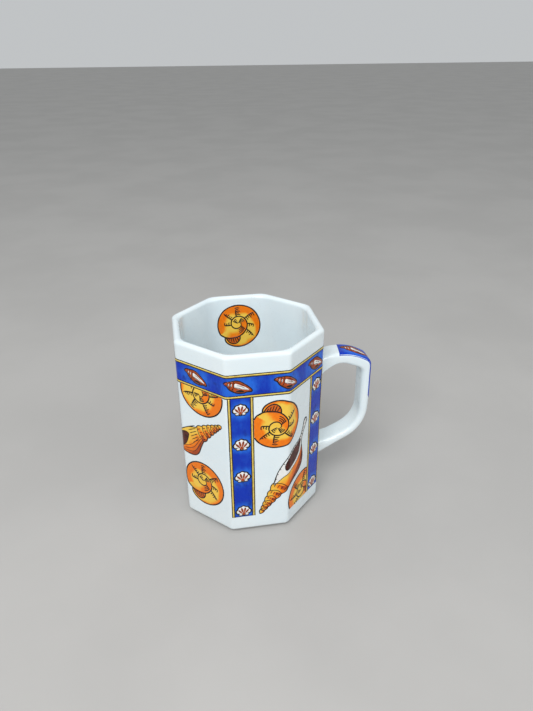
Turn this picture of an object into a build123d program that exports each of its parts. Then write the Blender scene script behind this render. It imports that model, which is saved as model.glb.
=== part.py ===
from build123d import *

import os
from math import cos, radians, sin, tan

# An eight-sided ceramic mug with a strap handle, decorated with fired-on enamel.
# The slip-cast body stands on a bare foot ring. The handle is cast on its own and stuck to the
# body with two pads of slip. A glassy glaze covers all but the foot ring, and every printed
# motif is an island of coloured enamel, fused on top of the glaze.
# The origin is on the mug's axis, on the plane that it stands on. +Z is up and the handle
# reaches out along +X. All sizes are in millimetres.

# ---------------------------------------------------------------- driving dimensions
mug_height = 101.0
flats_at_rim = 70.5  # across flats, over the glaze
flats_at_base = 68.8
corner_round = 3.2  # upright corners, outside
wall = 3.4  # at the middle of a face, over both glazes
cavity_corner_round = 13.0
floor_top = 6.0
floor_round = 9.0  # where the cavity's wall turns into its floor
lip_round = 1.55
base_round = 2.0

foot_height = 1.2
foot_flats = 62.0
foot_width = 3.2
foot_round = 0.5

glaze = 0.25
enamel = 0.1
slip = 0.4

handle_width = 12.4
handle_edge_round = 1.9

# The handle's side view as (x, z) corners, with the radius at each corner between the ends.
outer_side = [(31.5, 77.8), (48.1, 84.7), (63.5, 76.2), (63.6, 56.0), (62.9, 36.2), (31.5, 18.6)]
outer_rounds = [26.0, 4.0, 90.0, 21.0]
inner_side = [(31.5, 28.2), (43.2, 30.6), (58.8, 38.3), (58.8, 72.1), (45.6, 77.1), (38.0, 71.5), (31.5, 61.8)]
inner_rounds = [18.0, 15.0, 4.6, 8.5, 7.0]

# The print, unrolled. "Along" runs round the wall from left to right as seen from outside,
# starting at the upright corner just past the handle. "Up" is the height above the table.
band_bottom = 79.6
band_top = 92.0
strip_bottom = 10.0
strip_width = 11.8
first_strip_start = -0.5
second_strip_start = 45.5
print_gap = 0.1  # bare glaze between two islands of enamel

# The shells of a panel, as (along from the panel's middle, up). A moon has its middle and the
# angle of its mouth. A spindle has its spire tip, its canal tip, how far it bulges to the left
# and right of the line between them, and how far along that line it is widest.
even_moons = {"upper_moon": (-5.0, 63.8, 125), "lower_moon": (11.6, 14.6, -100)}
odd_moons = {"upper_moon": (3.0, 76.3, 100), "lower_moon": (3.1, 24.9, -116)}
even_spindle = ((-14.6, 10.9), (14.5, 59.2), 4.7, 7.0, 0.66)
odd_spindle = ((14.8, 63.8), (-24.8, 37.5), 8.0, 7.5, 0.52)
moon_radius = 12.8
mouth_radius = 6.0  # the lobe where a moon's last turn opens
mouth_reach = 7.6
inner_moon_height = 84.2
inner_mouth_angle = -115
handle_band_width = 10.0
handle_band_start = 46.4  # along X, on the upper arm
handle_band_end = 50.0  # along Z, down the grip

# ---------------------------------------------------------------- worked out
sides = 8
turn = 360.0 / sides
half_turn = turn / 2
glazed_base = foot_height
lean = (flats_at_rim - flats_at_base) / 2 / (mug_height - glazed_base)
apothem_at_table = flats_at_base / 2 - lean * glazed_base
face_width = tan(radians(half_turn)) * (flats_at_rim + flats_at_base) / 2
wrap_length = (sides - 1) * face_width  # the face behind the handle stays plain
far = 2 * mug_height

strip_starts = [
    first_strip_start,
    second_strip_start,
    (wrap_length - strip_width) / 2,
    wrap_length - second_strip_start - strip_width,
    wrap_length - first_strip_start - strip_width,
]
panel_edges = [(left + strip_width, right) for left, right in zip(strip_starts, strip_starts[1:])]


def wall_x(height):
    """How far the glazed wall behind the handle is from the axis at this height."""
    return apothem_at_table + lean * height


def eight_sided(level, apothem, rounding):
    """An octagon with rounded corners, lying flat at this level, one face square to +X."""
    with BuildSketch(Plane.XY.offset(level)) as outline:
        RegularPolygon(apothem, sides, major_radius=False, rotation=half_turn)
        fillet(outline.vertices(), rounding)
    return outline.sketch


def outside(grow):
    """The outer form, closed at the top, with every surface moved out by grow."""
    with BuildPart() as form:
        for level in (glazed_base - grow, mug_height + grow):
            add(eight_sided(level, wall_x(level) + grow, corner_round + grow))
        loft(ruled=True)
        fillet(form.faces().sort_by(Axis.Z)[0].edges(), base_round + grow)
    return form.part


def hollow(grow):
    """The cavity, running out through the top, with every surface moved out by grow."""
    with BuildPart() as room:
        for level in (floor_top - grow, mug_height + 2 * wall):
            add(eight_sided(level, wall_x(level) - wall + grow, cavity_corner_round + grow))
        loft(ruled=True)
        fillet(room.faces().sort_by(Axis.Z)[0].edges(), floor_round + grow)
    return room.part


def vessel(grow):
    """The mug without its foot ring and handle, with every surface moved out by grow."""
    with BuildPart() as pot:
        add(outside(grow))
        add(hollow(-grow), mode=Mode.SUBTRACT)
        fillet(pot.faces().sort_by(Axis.Z)[-1].edges(), lip_round + grow)
    return pot.part


def side_view(grow):
    """The handle's outline in the XZ plane, moved out by grow."""
    with BuildSketch(Plane.XZ) as outline:
        with BuildLine():
            FilletPolyline(*outer_side, radius=outer_rounds)
            Line(outer_side[-1], inner_side[0])
            FilletPolyline(*inner_side, radius=inner_rounds)
            Line(inner_side[-1], outer_side[0])
        make_face()
        offset(amount=grow)
    return outline.sketch


def strap(grow):
    """The handle before it is cut to the wall, with every surface moved out by grow."""
    with BuildPart() as bar:
        extrude(side_view(grow), amount=handle_width / 2 + grow, both=True)
        fillet(bar.faces().filter_by(Axis.Y).edges(), handle_edge_round + grow)
    return bar.part


def slab_past_wall(inner, outer):
    """All the space behind the +X wall between two distances from its glazed surface."""
    with BuildPart() as slab:
        with BuildSketch(Plane.XZ):
            with BuildLine():
                Polyline(
                    (wall_x(0) + inner, 0),
                    (wall_x(0) + outer, 0),
                    (wall_x(mug_height) + outer, mug_height),
                    (wall_x(mug_height) + inner, mug_height),
                    close=True,
                )
            make_face()
        extrude(amount=handle_width, both=True)
    return slab.part


def finish(piece, name):
    """Name a piece and write it to its own file."""
    piece.label = name
    export_step(piece, f"parts/{name}.step")


# ---------------------------------------------------------------- placing the print
def wall_point(along, up):
    """The place on the glazed wall, as a vector, at this spot of the unrolled print."""
    face = min(int(along // face_width), sides - 2) if along > 0 else 0
    direction = radians(turn * (face + 1))
    sideways = along - (face + 0.5) * face_width
    apothem = wall_x(up)
    x = apothem * cos(direction) - sideways * sin(direction)
    y = apothem * sin(direction) + sideways * cos(direction)
    return Vector(x, y, up)


def facing(along):
    """A sketch plane on the axis that looks straight at this spot, with Z upward."""
    face_angle = half_turn + turn * along / face_width
    outward = Vector(cos(radians(face_angle)), sin(radians(face_angle)), 0)
    rightward = Vector(-outward.Y, outward.X, 0)
    return Plane(origin=(0, 0, 0), x_dir=rightward, z_dir=outward)


def flat_to(plane, along, up):
    """Where a spot of the print falls on a plane from facing()."""
    return (plane.to_local_coords(wall_point(along, up)).X, up)


def window(start, end, bottom, top):
    """A block that cuts the print's layer between two places along and two heights."""
    plane = facing((start + end) / 2)
    left = flat_to(plane, start, bottom)[0]
    right = flat_to(plane, end, bottom)[0]
    with BuildPart() as block:
        with BuildSketch(plane):
            with BuildLine():
                Polyline((left, bottom), (right, bottom), (right, top), (left, top), close=True)
            make_face()
        extrude(amount=flats_at_rim)
    return block.part


def moon_outline(plane, middle, mouth_angle):
    """The outline of a moon snail: a disc with the lobe of its mouth."""
    with BuildSketch(plane) as outline:
        with Locations(middle):
            Circle(moon_radius)
            with PolarLocations(mouth_reach, 1, start_angle=mouth_angle):
                Circle(mouth_radius)
    return outline.sketch


def spindle_outline(plane, spire, canal, left_bulge, right_bulge, widest):
    """The outline of a long shell, pointed at both ends."""
    tip = Vector(*spire)
    end = Vector(*canal)
    axis = (end - tip).normalized()
    rightward = Vector(axis.Y, -axis.X)
    waist = tip + (end - tip) * widest
    with BuildSketch(plane) as outline:
        with BuildLine():
            Spline(tip, waist - rightward * left_bulge, end)
            Spline(end, waist + rightward * right_bulge, tip)
        make_face()
    return outline.sketch


# ---------------------------------------------------------------- clay
os.makedirs("parts", exist_ok=True)

with BuildPart() as body:
    add(vessel(-glaze))
    with BuildSketch():
        RegularPolygon(foot_flats / 2, sides, major_radius=False, rotation=half_turn)
        fillet(vertices(), corner_round)
        offset(amount=-foot_width, mode=Mode.SUBTRACT)
    extrude(amount=glazed_base + glaze + foot_round)
    fillet(body.faces().sort_by(Axis.Z)[0].edges(), foot_round)
finish(body.part, "body")

with BuildPart() as handle:
    add(strap(-glaze))
    add(slab_past_wall(slip - glaze, far), mode=Mode.INTERSECT)
finish(handle.part, "handle")

with BuildPart() as slip_joints:
    add(strap(-glaze))
    add(slab_past_wall(-glaze, slip - glaze), mode=Mode.INTERSECT)
for pad, name in zip(slip_joints.solids().sort_by(Axis.Z), ["lower_slip_joint", "upper_slip_joint"]):
    with BuildPart() as joint:
        add(pad)
    finish(joint.part, name)

# ---------------------------------------------------------------- glaze
with BuildPart() as coats:
    add(vessel(0))
    add(body.part, mode=Mode.SUBTRACT)
    add(slip_joints.part, mode=Mode.SUBTRACT)
for coat, name in zip(coats.solids().sort_by(SortBy.VOLUME), ["base_glaze", "glaze_coat"]):
    with BuildPart() as skin:
        add(coat)
    finish(skin.part, name)

with BuildPart() as handle_glaze:
    add(strap(0))
    add(slab_past_wall(0, far), mode=Mode.INTERSECT)
    add(handle.part, mode=Mode.SUBTRACT)
    add(slip_joints.part, mode=Mode.SUBTRACT)
finish(handle_glaze.part, "handle_glaze")

# ---------------------------------------------------------------- fired-on enamel
with BuildPart() as print_layer:
    add(outside(enamel))
    add(outside(0), mode=Mode.SUBTRACT)

# The band stops at the two corners beside the handle, as the strips do.
with BuildPart() as rim_band:
    add(print_layer.part)
    with BuildSketch(Plane.XY.offset(band_bottom)):
        Rectangle(far, far)
    extrude(amount=band_top - band_bottom, mode=Mode.INTERSECT)
    with BuildSketch(Plane.YZ):
        with Locations((0, mug_height / 2)):
            Rectangle(face_width + 2 * first_strip_start, far)
    extrude(amount=far, mode=Mode.SUBTRACT)
finish(rim_band.part, "rim_band")

for number, start in enumerate(strip_starts, start=1):
    with BuildPart() as strip:
        add(print_layer.part)
        add(window(start, start + strip_width, strip_bottom, band_bottom - print_gap), mode=Mode.INTERSECT)
    finish(strip.part, f"strip_{number}")

for number, (left, right) in enumerate(panel_edges, start=1):
    middle = (left + right) / 2
    panel = window(left + print_gap, right - print_gap, strip_bottom, band_bottom - print_gap)
    moons = odd_moons if number % 2 else even_moons
    spire, canal, *bulges = odd_spindle if number % 2 else even_spindle
    outlines = {}
    for name, (offset_along, up, mouth_angle) in moons.items():
        plane = facing(middle + offset_along)
        outlines[name] = moon_outline(plane, flat_to(plane, middle + offset_along, up), mouth_angle)
    plane = facing(middle + (spire[0] + canal[0]) / 2)
    tips = [flat_to(plane, middle + along, up) for along, up in (spire, canal)]
    outlines["spindle"] = spindle_outline(plane, *tips, *bulges)
    for name, outline in outlines.items():
        with BuildPart() as shell:
            extrude(outline, amount=flats_at_rim)
            add(print_layer.part, mode=Mode.INTERSECT)
            add(panel, mode=Mode.INTERSECT)
        finish(shell.part, f"panel_{number}_{name}")

with BuildPart() as inner_moon:
    extrude(moon_outline(Plane.XZ, (0, inner_moon_height), inner_mouth_angle), amount=-flats_at_rim)
    add(hollow(0), mode=Mode.INTERSECT)
    add(hollow(-enamel), mode=Mode.SUBTRACT)
finish(inner_moon.part, "inner_moon")

with BuildPart() as handle_enamel:
    extrude(side_view(enamel), amount=handle_band_width / 2, both=True)
    add(strap(0), mode=Mode.SUBTRACT)
    with BuildSketch(Plane.XZ):
        with Locations((handle_band_start, handle_band_end)):
            Rectangle(far, far, align=(Align.MIN, Align.MIN))
    extrude(amount=handle_width, both=True, mode=Mode.INTERSECT)
with BuildPart() as handle_band:
    add(handle_enamel.solids().sort_by(SortBy.VOLUME)[-1])
finish(handle_band.part, "handle_band")
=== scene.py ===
"""An eight-sided ceramic mug with a strap handle, printed with sea shells and blue bands.

Everything is in metres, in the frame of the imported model: the origin is under the mug's axis on
the plane that it stands on, +Z is up and the handle reaches out along +X.
The print is drawn flat, in millimetres, as (along, up) on the unrolled wall. "Along" is zero at
the middle of the front face and grows to the right, and Geometry Nodes wrap it onto the wall.
"""

from math import atan2, cos, degrees, hypot, pi, radians, sin, tan

import bmesh
import bpy
from bpy.props import FloatProperty, FloatVectorProperty, PointerProperty
from mathutils import Matrix, Vector, noise
from mathutils.geometry import delaunay_2d_cdt


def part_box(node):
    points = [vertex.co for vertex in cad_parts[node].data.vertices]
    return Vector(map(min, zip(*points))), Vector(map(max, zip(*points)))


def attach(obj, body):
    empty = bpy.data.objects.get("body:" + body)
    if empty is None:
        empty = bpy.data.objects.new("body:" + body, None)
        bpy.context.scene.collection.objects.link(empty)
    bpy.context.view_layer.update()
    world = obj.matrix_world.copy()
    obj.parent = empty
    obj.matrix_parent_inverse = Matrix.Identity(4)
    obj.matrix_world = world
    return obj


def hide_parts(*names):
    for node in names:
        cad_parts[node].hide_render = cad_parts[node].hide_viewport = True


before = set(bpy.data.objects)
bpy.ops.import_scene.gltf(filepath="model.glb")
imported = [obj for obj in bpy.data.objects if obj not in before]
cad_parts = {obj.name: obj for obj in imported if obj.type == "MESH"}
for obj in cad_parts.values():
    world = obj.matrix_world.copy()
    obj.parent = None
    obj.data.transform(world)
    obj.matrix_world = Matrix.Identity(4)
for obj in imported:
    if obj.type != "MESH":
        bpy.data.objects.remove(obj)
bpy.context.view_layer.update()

bl_info = {
    "name": "Eight-Sided Mug",
    "version": (1, 0, 0),
    "blender": (4, 5, 0),
    "location": "View3D > Sidebar > Mug",
    "description": "Builds a glazed eight-sided mug with a strap handle and a sea-shell print",
    "category": "Add Mesh",
}

MM = 0.001
SIDES = 8
TURN = 2 * pi / SIDES
HALF = tan(TURN / 2)
CROWDING = 1.7  # how strongly the vessel's points crowd towards its corners

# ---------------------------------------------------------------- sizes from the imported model
COAT_LOW, COAT_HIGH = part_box("glaze_coat")
BAND_LOW, BAND_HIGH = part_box("rim_band")
STRIP_LOW, STRIP_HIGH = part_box("strip_4")
RECESS_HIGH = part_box("base_glaze")[1]

RIM = COAT_HIGH.z / MM
UNDERSIDE = COAT_LOW.z / MM
FLATS_AT_RIM = 35.25
FLATS_AT_BASE = 34.4
LEAN = (FLATS_AT_RIM - FLATS_AT_BASE) / (RIM - UNDERSIDE)
FACE = HALF * (FLATS_AT_RIM + FLATS_AT_BASE)
BAND_BOTTOM = BAND_LOW.z / MM
BAND_TOP = BAND_HIGH.z / MM
STRIP_BOTTOM = STRIP_LOW.z / MM
STRIP_WIDTH = (STRIP_HIGH.x - STRIP_LOW.x) / MM
WRAP_START = -5.5 * FACE  # the print starts at the corner just past the handle
WRAP_LENGTH = (SIDES - 1) * FACE
BAND_MIDDLE = (BAND_BOTTOM + BAND_TOP) / 2

# Where each upright strip starts, measured along from WRAP_START.
FIRST_STRIP = -0.5
SECOND_STRIP = 45.5
STRIP_STARTS = [
    WRAP_START + start
    for start in (
        FIRST_STRIP,
        SECOND_STRIP,
        (WRAP_LENGTH - STRIP_WIDTH) / 2,
        WRAP_LENGTH - SECOND_STRIP - STRIP_WIDTH,
        WRAP_LENGTH - FIRST_STRIP - STRIP_WIDTH,
    )
]
PANELS = [(left + STRIP_WIDTH, right) for left, right in zip(STRIP_STARTS, STRIP_STARTS[1:])]

# The handle's side view, as (x, z) corners and the radius at each inner corner.
OUTER_SIDE = [(31.5, 77.8), (48.1, 84.7), (63.5, 76.2), (63.6, 56.0), (62.9, 36.2), (31.5, 18.6)]
OUTER_ROUNDS = [26.0, 4.0, 90.0, 21.0]
INNER_SIDE = [
    (31.5, 61.8), (38.0, 71.5), (45.6, 77.1), (58.8, 72.1), (58.8, 38.3), (43.2, 30.6), (31.5, 28.2)
]
INNER_ROUNDS = [7.0, 8.5, 4.6, 15.0, 18.0]
STRAP_SUNK = 0.6  # how far the strap's ends go into the wall
STRAP_RINGS = 170
FOOT_CORNER_ROUND = 3.2

# The handle's band: its slanted start, its taper at the far end and its shell.
STRAP_BAND_START = (-0.6, 1.0)
STRAP_BAND_TAPER = 6.0
STRAP_BAND_NARROWED = 1.6
STRAP_BAND_WRAP = 0.15  # how far past the strap's side edge the enamel reaches
STRAP_SHELL_SIZE = 1.12
STRAP_SHELL_SHIFT = 0.8

# The studio, in metres.
FLOOR_REACH = 6.0
KEY_LIGHT = (0.7, (-0.30, -0.62, 0.85))  # size, place
FILL_LIGHT = (0.8, (0.7, -0.6, 0.45))
LIGHTS_AIM = (0.0, 0.0, 0.05)
SKY_COLOUR = (0.95, 0.98, 1.0, 1.0)
LENS = 30.38
SENSOR_HEIGHT = 36.0
CAMERA_PLACE = (-35.142, -260.979, 221.202)  # millimetres
CAMERA_RIGHT = (0.984927, -0.172876, -0.005754)
CAMERA_UP = (0.085714, 0.458902, 0.884343)


# ---------------------------------------------------------------- what a user would change
def length(name, description, millimetres):
    """A length that a user can change."""
    return FloatProperty(name=name, description=description, default=millimetres * MM, unit="LENGTH")


def tint(name, description, *colour):
    """A colour that a user can change."""
    return FloatVectorProperty(name=name, description=description, subtype="COLOR", default=colour)


class MugSizes(bpy.types.PropertyGroup):
    """Sizes of the vessel and its handle."""

    corner_round: length("Corner Round", "Radius of the upright corners outside", 3.2)
    cavity_round: length("Cavity Round", "Radius of the upright corners inside", 13.0)
    wall: length("Wall", "Thickness of the wall in the middle of a face", 3.4)
    floor_top: length("Floor Top", "Height of the cavity's floor", 6.0)
    floor_round: length("Floor Round", "Radius between the cavity's wall and floor", 9.0)
    base_round: length("Base Round", "Radius of the bottom edge", 2.0)
    foot_width: length("Foot Width", "Width of the bare foot ring", 3.2)
    strap_width: length("Strap Width", "Width of the handle's strap", 12.3)
    strap_round: length("Strap Round", "Radius of the strap's edges", 2.2)
    joint_bead: length("Joint Bead", "Size of the slip fillet round each end of the handle", 0.9)


class MugPrint(bpy.types.PropertyGroup):
    """Sizes of the enamel print."""

    fill_lift: length("Colour Height", "How far the colours stand above the glaze", 0.045)
    line_lift: length("Line Height", "How far the black lines stand above the glaze", 0.080)
    depth: length("Depth", "How far the enamel reaches under the glaze's surface", 0.06)
    gold_line: length("Gold Line", "Width of the gold border lines", 0.72)
    black_line: length("Black Line", "Width of the black border lines", 0.46)


class MugColours(bpy.types.PropertyGroup):
    """Colours of the clay, glaze and enamels."""

    glaze: tint("Glaze", "White of the glaze", 0.76, 0.835, 0.86)
    clay: tint("Clay", "Bare clay of the foot ring", 0.70, 0.66, 0.58)
    cobalt: tint("Cobalt", "Deep blue of the bands", 0.0, 0.030, 0.42)
    cobalt_wash: tint("Cobalt Wash", "Paler blue where the wash is thin", 0.015, 0.15, 0.70)
    gold: tint("Gold", "Yellow gold of the border lines", 0.84, 0.64, 0.15)
    ink: tint("Ink", "Black of the outlines", 0.010, 0.006, 0.005)
    yellow: tint("Yellow", "Inner side of a shell's whorls", 0.86, 0.54, 0.06)
    orange: tint("Orange", "Outer side of a shell's whorls", 0.88, 0.20, 0.003)
    rust: tint("Rust", "Brown-red of the small shells", 0.44, 0.070, 0.010)
    brown: tint("Brown", "Dark brown inside a shell's mouth", 0.10, 0.018, 0.010)
    white: tint("White", "White enamel", 0.82, 0.82, 0.80)


class MugStudio(bpy.types.PropertyGroup):
    """Floor, lights and world."""

    floor: tint("Floor", "Colour of the floor", 0.47, 0.46, 0.445)
    key: FloatProperty(name="Key", description="Power of the large soft light", default=8.8, unit="POWER")
    fill: FloatProperty(name="Fill", description="Power of the low front light", default=1.6, unit="POWER")
    sky: FloatProperty(name="Sky", description="Strength of the even light all round", default=0.56)


# ---------------------------------------------------------------- building node trees
class Tree:
    """A node tree under construction: each method adds a node and returns an output socket."""

    def __init__(self, tree):
        self.tree = tree
        self.keys = {}

    def interface(self, outputs, **inputs):
        """Inputs are lists of names by kind, and outputs are (name, kind)."""
        for kind, names in inputs.items():
            for name in names:
                item = self.tree.interface.new_socket(name, in_out="INPUT", socket_type=f"NodeSocket{kind}")
                self.keys[name] = item.identifier
        for name, kind in outputs:
            self.tree.interface.new_socket(name, in_out="OUTPUT", socket_type=f"NodeSocket{kind}")
        self.given = self.tree.nodes.new("NodeGroupInput").outputs
        self.result = self.tree.nodes.new("NodeGroupOutput").inputs

    def link(self, source, target):
        if hasattr(source, "is_output"):
            self.tree.links.new(source, target)
        else:
            target.default_value = source

    def add(self, kind, settings=(), **sockets):
        node = self.tree.nodes.new(kind)
        for key, value in dict(settings).items():
            setattr(node, key, value)
        for name, source in sockets.items():
            key = name.replace("_", " ")
            socket = next(s for s in node.inputs if s.name == key and s.enabled)
            self.link(source, socket)
        return node

    def math(self, operation, *values):
        node = self.add("ShaderNodeMath", {"operation": operation})
        for value, socket in zip(values, node.inputs):
            self.link(value, socket)
        return node.outputs[0]

    def vector(self, operation, *values):
        node = self.add("ShaderNodeVectorMath", {"operation": operation})
        for value, socket in zip(values, [s for s in node.inputs if s.enabled]):
            self.link(value, socket)
        return next(s for s in node.outputs if s.enabled)

    def combine(self, x, y, z):
        node = self.add("ShaderNodeCombineXYZ")
        for value, socket in zip((x, y, z), node.inputs):
            self.link(value, socket)
        return node.outputs[0]

    def split(self, vector):
        node = self.add("ShaderNodeSeparateXYZ")
        self.link(vector, node.inputs[0])
        return node.outputs


    def place(self):
        return self.add("GeometryNodeInputPosition").outputs[0]

    def stored(self, name):
        """A number stored on the points."""
        return self.add("GeometryNodeInputNamedAttribute", {"data_type": "FLOAT"}, Name=name).outputs[0]

    def shape(self, name):
        """The mesh of an object that is one of the inputs."""
        space = {"transform_space": "ORIGINAL"}
        return self.add("GeometryNodeObjectInfo", space, Object=self.given[name]).outputs["Geometry"]

    def sampled(self, kind, settings, value, **sockets):
        """A value read from elsewhere on a shape."""
        sample = self.add(kind, settings, **sockets)
        self.link(value, next(s for s in sample.inputs if s.name == "Value" and s.enabled))
        return next(s for s in sample.outputs if s.name == "Value" and s.enabled)

    def finish(self, geometry, material):
        """Ends a tree: instances made real, the material set."""
        real = self.add("GeometryNodeRealizeInstances", Geometry=geometry).outputs[0]
        painted = self.add("GeometryNodeSetMaterial", Geometry=real, Material=material)
        self.link(painted.outputs[0], self.result["Geometry"])
        return self


def new_tree(name):
    return Tree(bpy.data.node_groups.new(name, "GeometryNodeTree"))


GEOMETRY_OUT = [("Geometry", "Geometry")]


def eight_sided_wall():
    """Node group: where a turn round the mug lies on an octagon with rounded corners.

    Turn counts faces. The outputs are the point in the XY plane and the wall's outward direction.
    """
    if "Eight-sided wall" in bpy.data.node_groups:
        return bpy.data.node_groups["Eight-sided wall"]
    t = new_tree("Eight-sided wall")
    t.interface([("Point", "Vector"), ("Outward", "Vector")], Float=["Turn", "Apothem", "Corner Round"])
    face = t.math("ROUND", t.given["Turn"])
    sideways = t.math("SUBTRACT", t.given["Turn"], face)
    apothem = t.given["Apothem"]
    rounding = t.math("MINIMUM", t.given["Corner Round"], apothem)
    span = t.math("MULTIPLY", t.math("ABSOLUTE", sideways), t.math("MULTIPLY", apothem, 2 * HALF))
    middle = t.math("SUBTRACT", apothem, rounding)
    flat = t.math("MULTIPLY", middle, HALF)
    past = t.math("MAXIMUM", t.math("SUBTRACT", span, flat), 0.0)
    bend_full = t.math("MAXIMUM", t.math("MULTIPLY", rounding, HALF), 1e-9)
    bend = t.math("MULTIPLY", t.math("MINIMUM", t.math("DIVIDE", past, bend_full), 1.0), TURN / 2)
    out = t.math("ADD", middle, t.math("MULTIPLY", rounding, t.math("COSINE", bend)))
    along = t.math("ADD", t.math("MINIMUM", span, flat), t.math("MULTIPLY", rounding, t.math("SINE", bend)))
    side = t.math("SIGN", sideways)
    angle = t.math("MULTIPLY", face, TURN)
    point = t.combine(out, t.math("MULTIPLY", side, along), 0.0)
    lean = t.math("ADD", angle, t.math("MULTIPLY", side, bend))
    axis = {"rotation_type": "Z_AXIS"}
    turned = t.add("ShaderNodeVectorRotate", axis, Vector=point, Angle=angle)
    outward = t.combine(t.math("COSINE", lean), t.math("SINE", lean), 0.0)
    t.link(turned.outputs[0], t.result["Point"])
    t.link(outward, t.result["Outward"])
    return t.tree


def vessel_tree():
    """Turns a profile, drawn as (apothem, height), round eight sides into a closed vessel."""
    t = new_tree("Eight-sided vessel")
    t.interface(
        GEOMETRY_OUT, Geometry=["Profile"], Int=["Points Round", "Points Up"], Material=["Glaze"],
    )
    grid = t.add(
        "GeometryNodeMeshGrid", Size_X=1.0, Size_Y=1.0, Vertices_X=t.given["Points Round"],
        Vertices_Y=t.given["Points Up"],
    )
    place = t.split(t.place())
    last = t.math("SUBTRACT", t.given["Points Up"], 1.0)
    row = t.math("ROUND", t.math("MULTIPLY", t.math("ADD", place[1], 0.5), last))

    def of_row(kind, value):
        settings = {"data_type": kind, "domain": "POINT"}
        return t.sampled("GeometryNodeSampleIndex", settings, value, Geometry=t.given["Profile"], Index=row)

    drawn = t.split(of_row("FLOAT_VECTOR", t.place()))
    corner_round = of_row("FLOAT", t.stored("corner_round"))
    # Points crowd towards the corners, where the wall bends.
    turn = t.math("MULTIPLY", t.math("ADD", place[0], 0.5), float(SIDES))
    face = t.math("ROUND", turn)
    part = t.math("MULTIPLY", t.math("SUBTRACT", turn, face), 2.0)
    short = t.math("SUBTRACT", 1.0, t.math("ABSOLUTE", part))
    crowded = t.math("SUBTRACT", 1.0, t.math("POWER", short, CROWDING))
    turn = t.math("ADD", face, t.math("MULTIPLY", t.math("MULTIPLY", t.math("SIGN", part), crowded), 0.5))
    wall = t.add(
        "GeometryNodeGroup", {"node_tree": eight_sided_wall()}, Turn=turn, Apothem=drawn[0],
        Corner_Round=corner_round,
    )
    point = t.vector("ADD", wall.outputs["Point"], t.combine(0.0, 0.0, drawn[2]))
    moved = t.add("GeometryNodeSetPosition", Geometry=grid.outputs["Mesh"], Position=point)
    merged = t.add("GeometryNodeMergeByDistance", Geometry=moved.outputs[0], Distance=2e-6)
    smooth = t.add("GeometryNodeSetShadeSmooth", Geometry=merged.outputs[0])
    return t.finish(smooth.outputs[0], t.given["Glaze"])


def motifs_at_points(t):
    """Instances of a motif on the input's points, turned and scaled by the points' attributes."""
    scale = t.stored("scale")
    placed = t.add(
        "GeometryNodeInstanceOnPoints", Points=t.given["Drawing"], Instance=t.shape("Motif"),
        Rotation=t.combine(0.0, 0.0, t.stored("tilt")), Scale=t.combine(scale, scale, 1.0),
    )
    return t.add("GeometryNodeRealizeInstances", Geometry=placed.outputs[0]).outputs[0]


def wrap_tree(repeated):
    """Wraps a flat drawing, as (along, up, lift), onto the outer or inner wall.

    With repeated on, the drawing is only points, and each point gets a copy of the motif.
    """
    t = new_tree("Motifs on the wall" if repeated else "Drawing on the wall")
    t.interface(
        GEOMETRY_OUT, Geometry=["Drawing"], Material=["Enamel"], Object=["Motif"] if repeated else [],
        Float=["Face Width", "First Face", "Apothem", "Lean", "Corner Round", "Side"],
    )
    drawing = motifs_at_points(t) if repeated else t.given["Drawing"]
    place = t.split(t.place())
    turns = t.math("MULTIPLY", t.math("DIVIDE", place[0], t.given["Face Width"]), t.given["Side"])
    wall = t.add(
        "GeometryNodeGroup", {"node_tree": eight_sided_wall()},
        Turn=t.math("ADD", turns, t.given["First Face"]), Corner_Round=t.given["Corner Round"],
        Apothem=t.math("ADD", t.given["Apothem"], t.math("MULTIPLY", place[1], t.given["Lean"])),
    )
    lift = t.math("MULTIPLY", place[2], t.given["Side"])
    raised = t.vector("MULTIPLY", wall.outputs["Outward"], t.combine(lift, lift, 0.0))
    point = t.vector("ADD", wall.outputs["Point"], raised)
    up = t.combine(0.0, 0.0, place[1])
    moved = t.add("GeometryNodeSetPosition", Geometry=drawing, Position=t.vector("ADD", point, up))
    return t.finish(moved.outputs[0], t.given["Enamel"])


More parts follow.
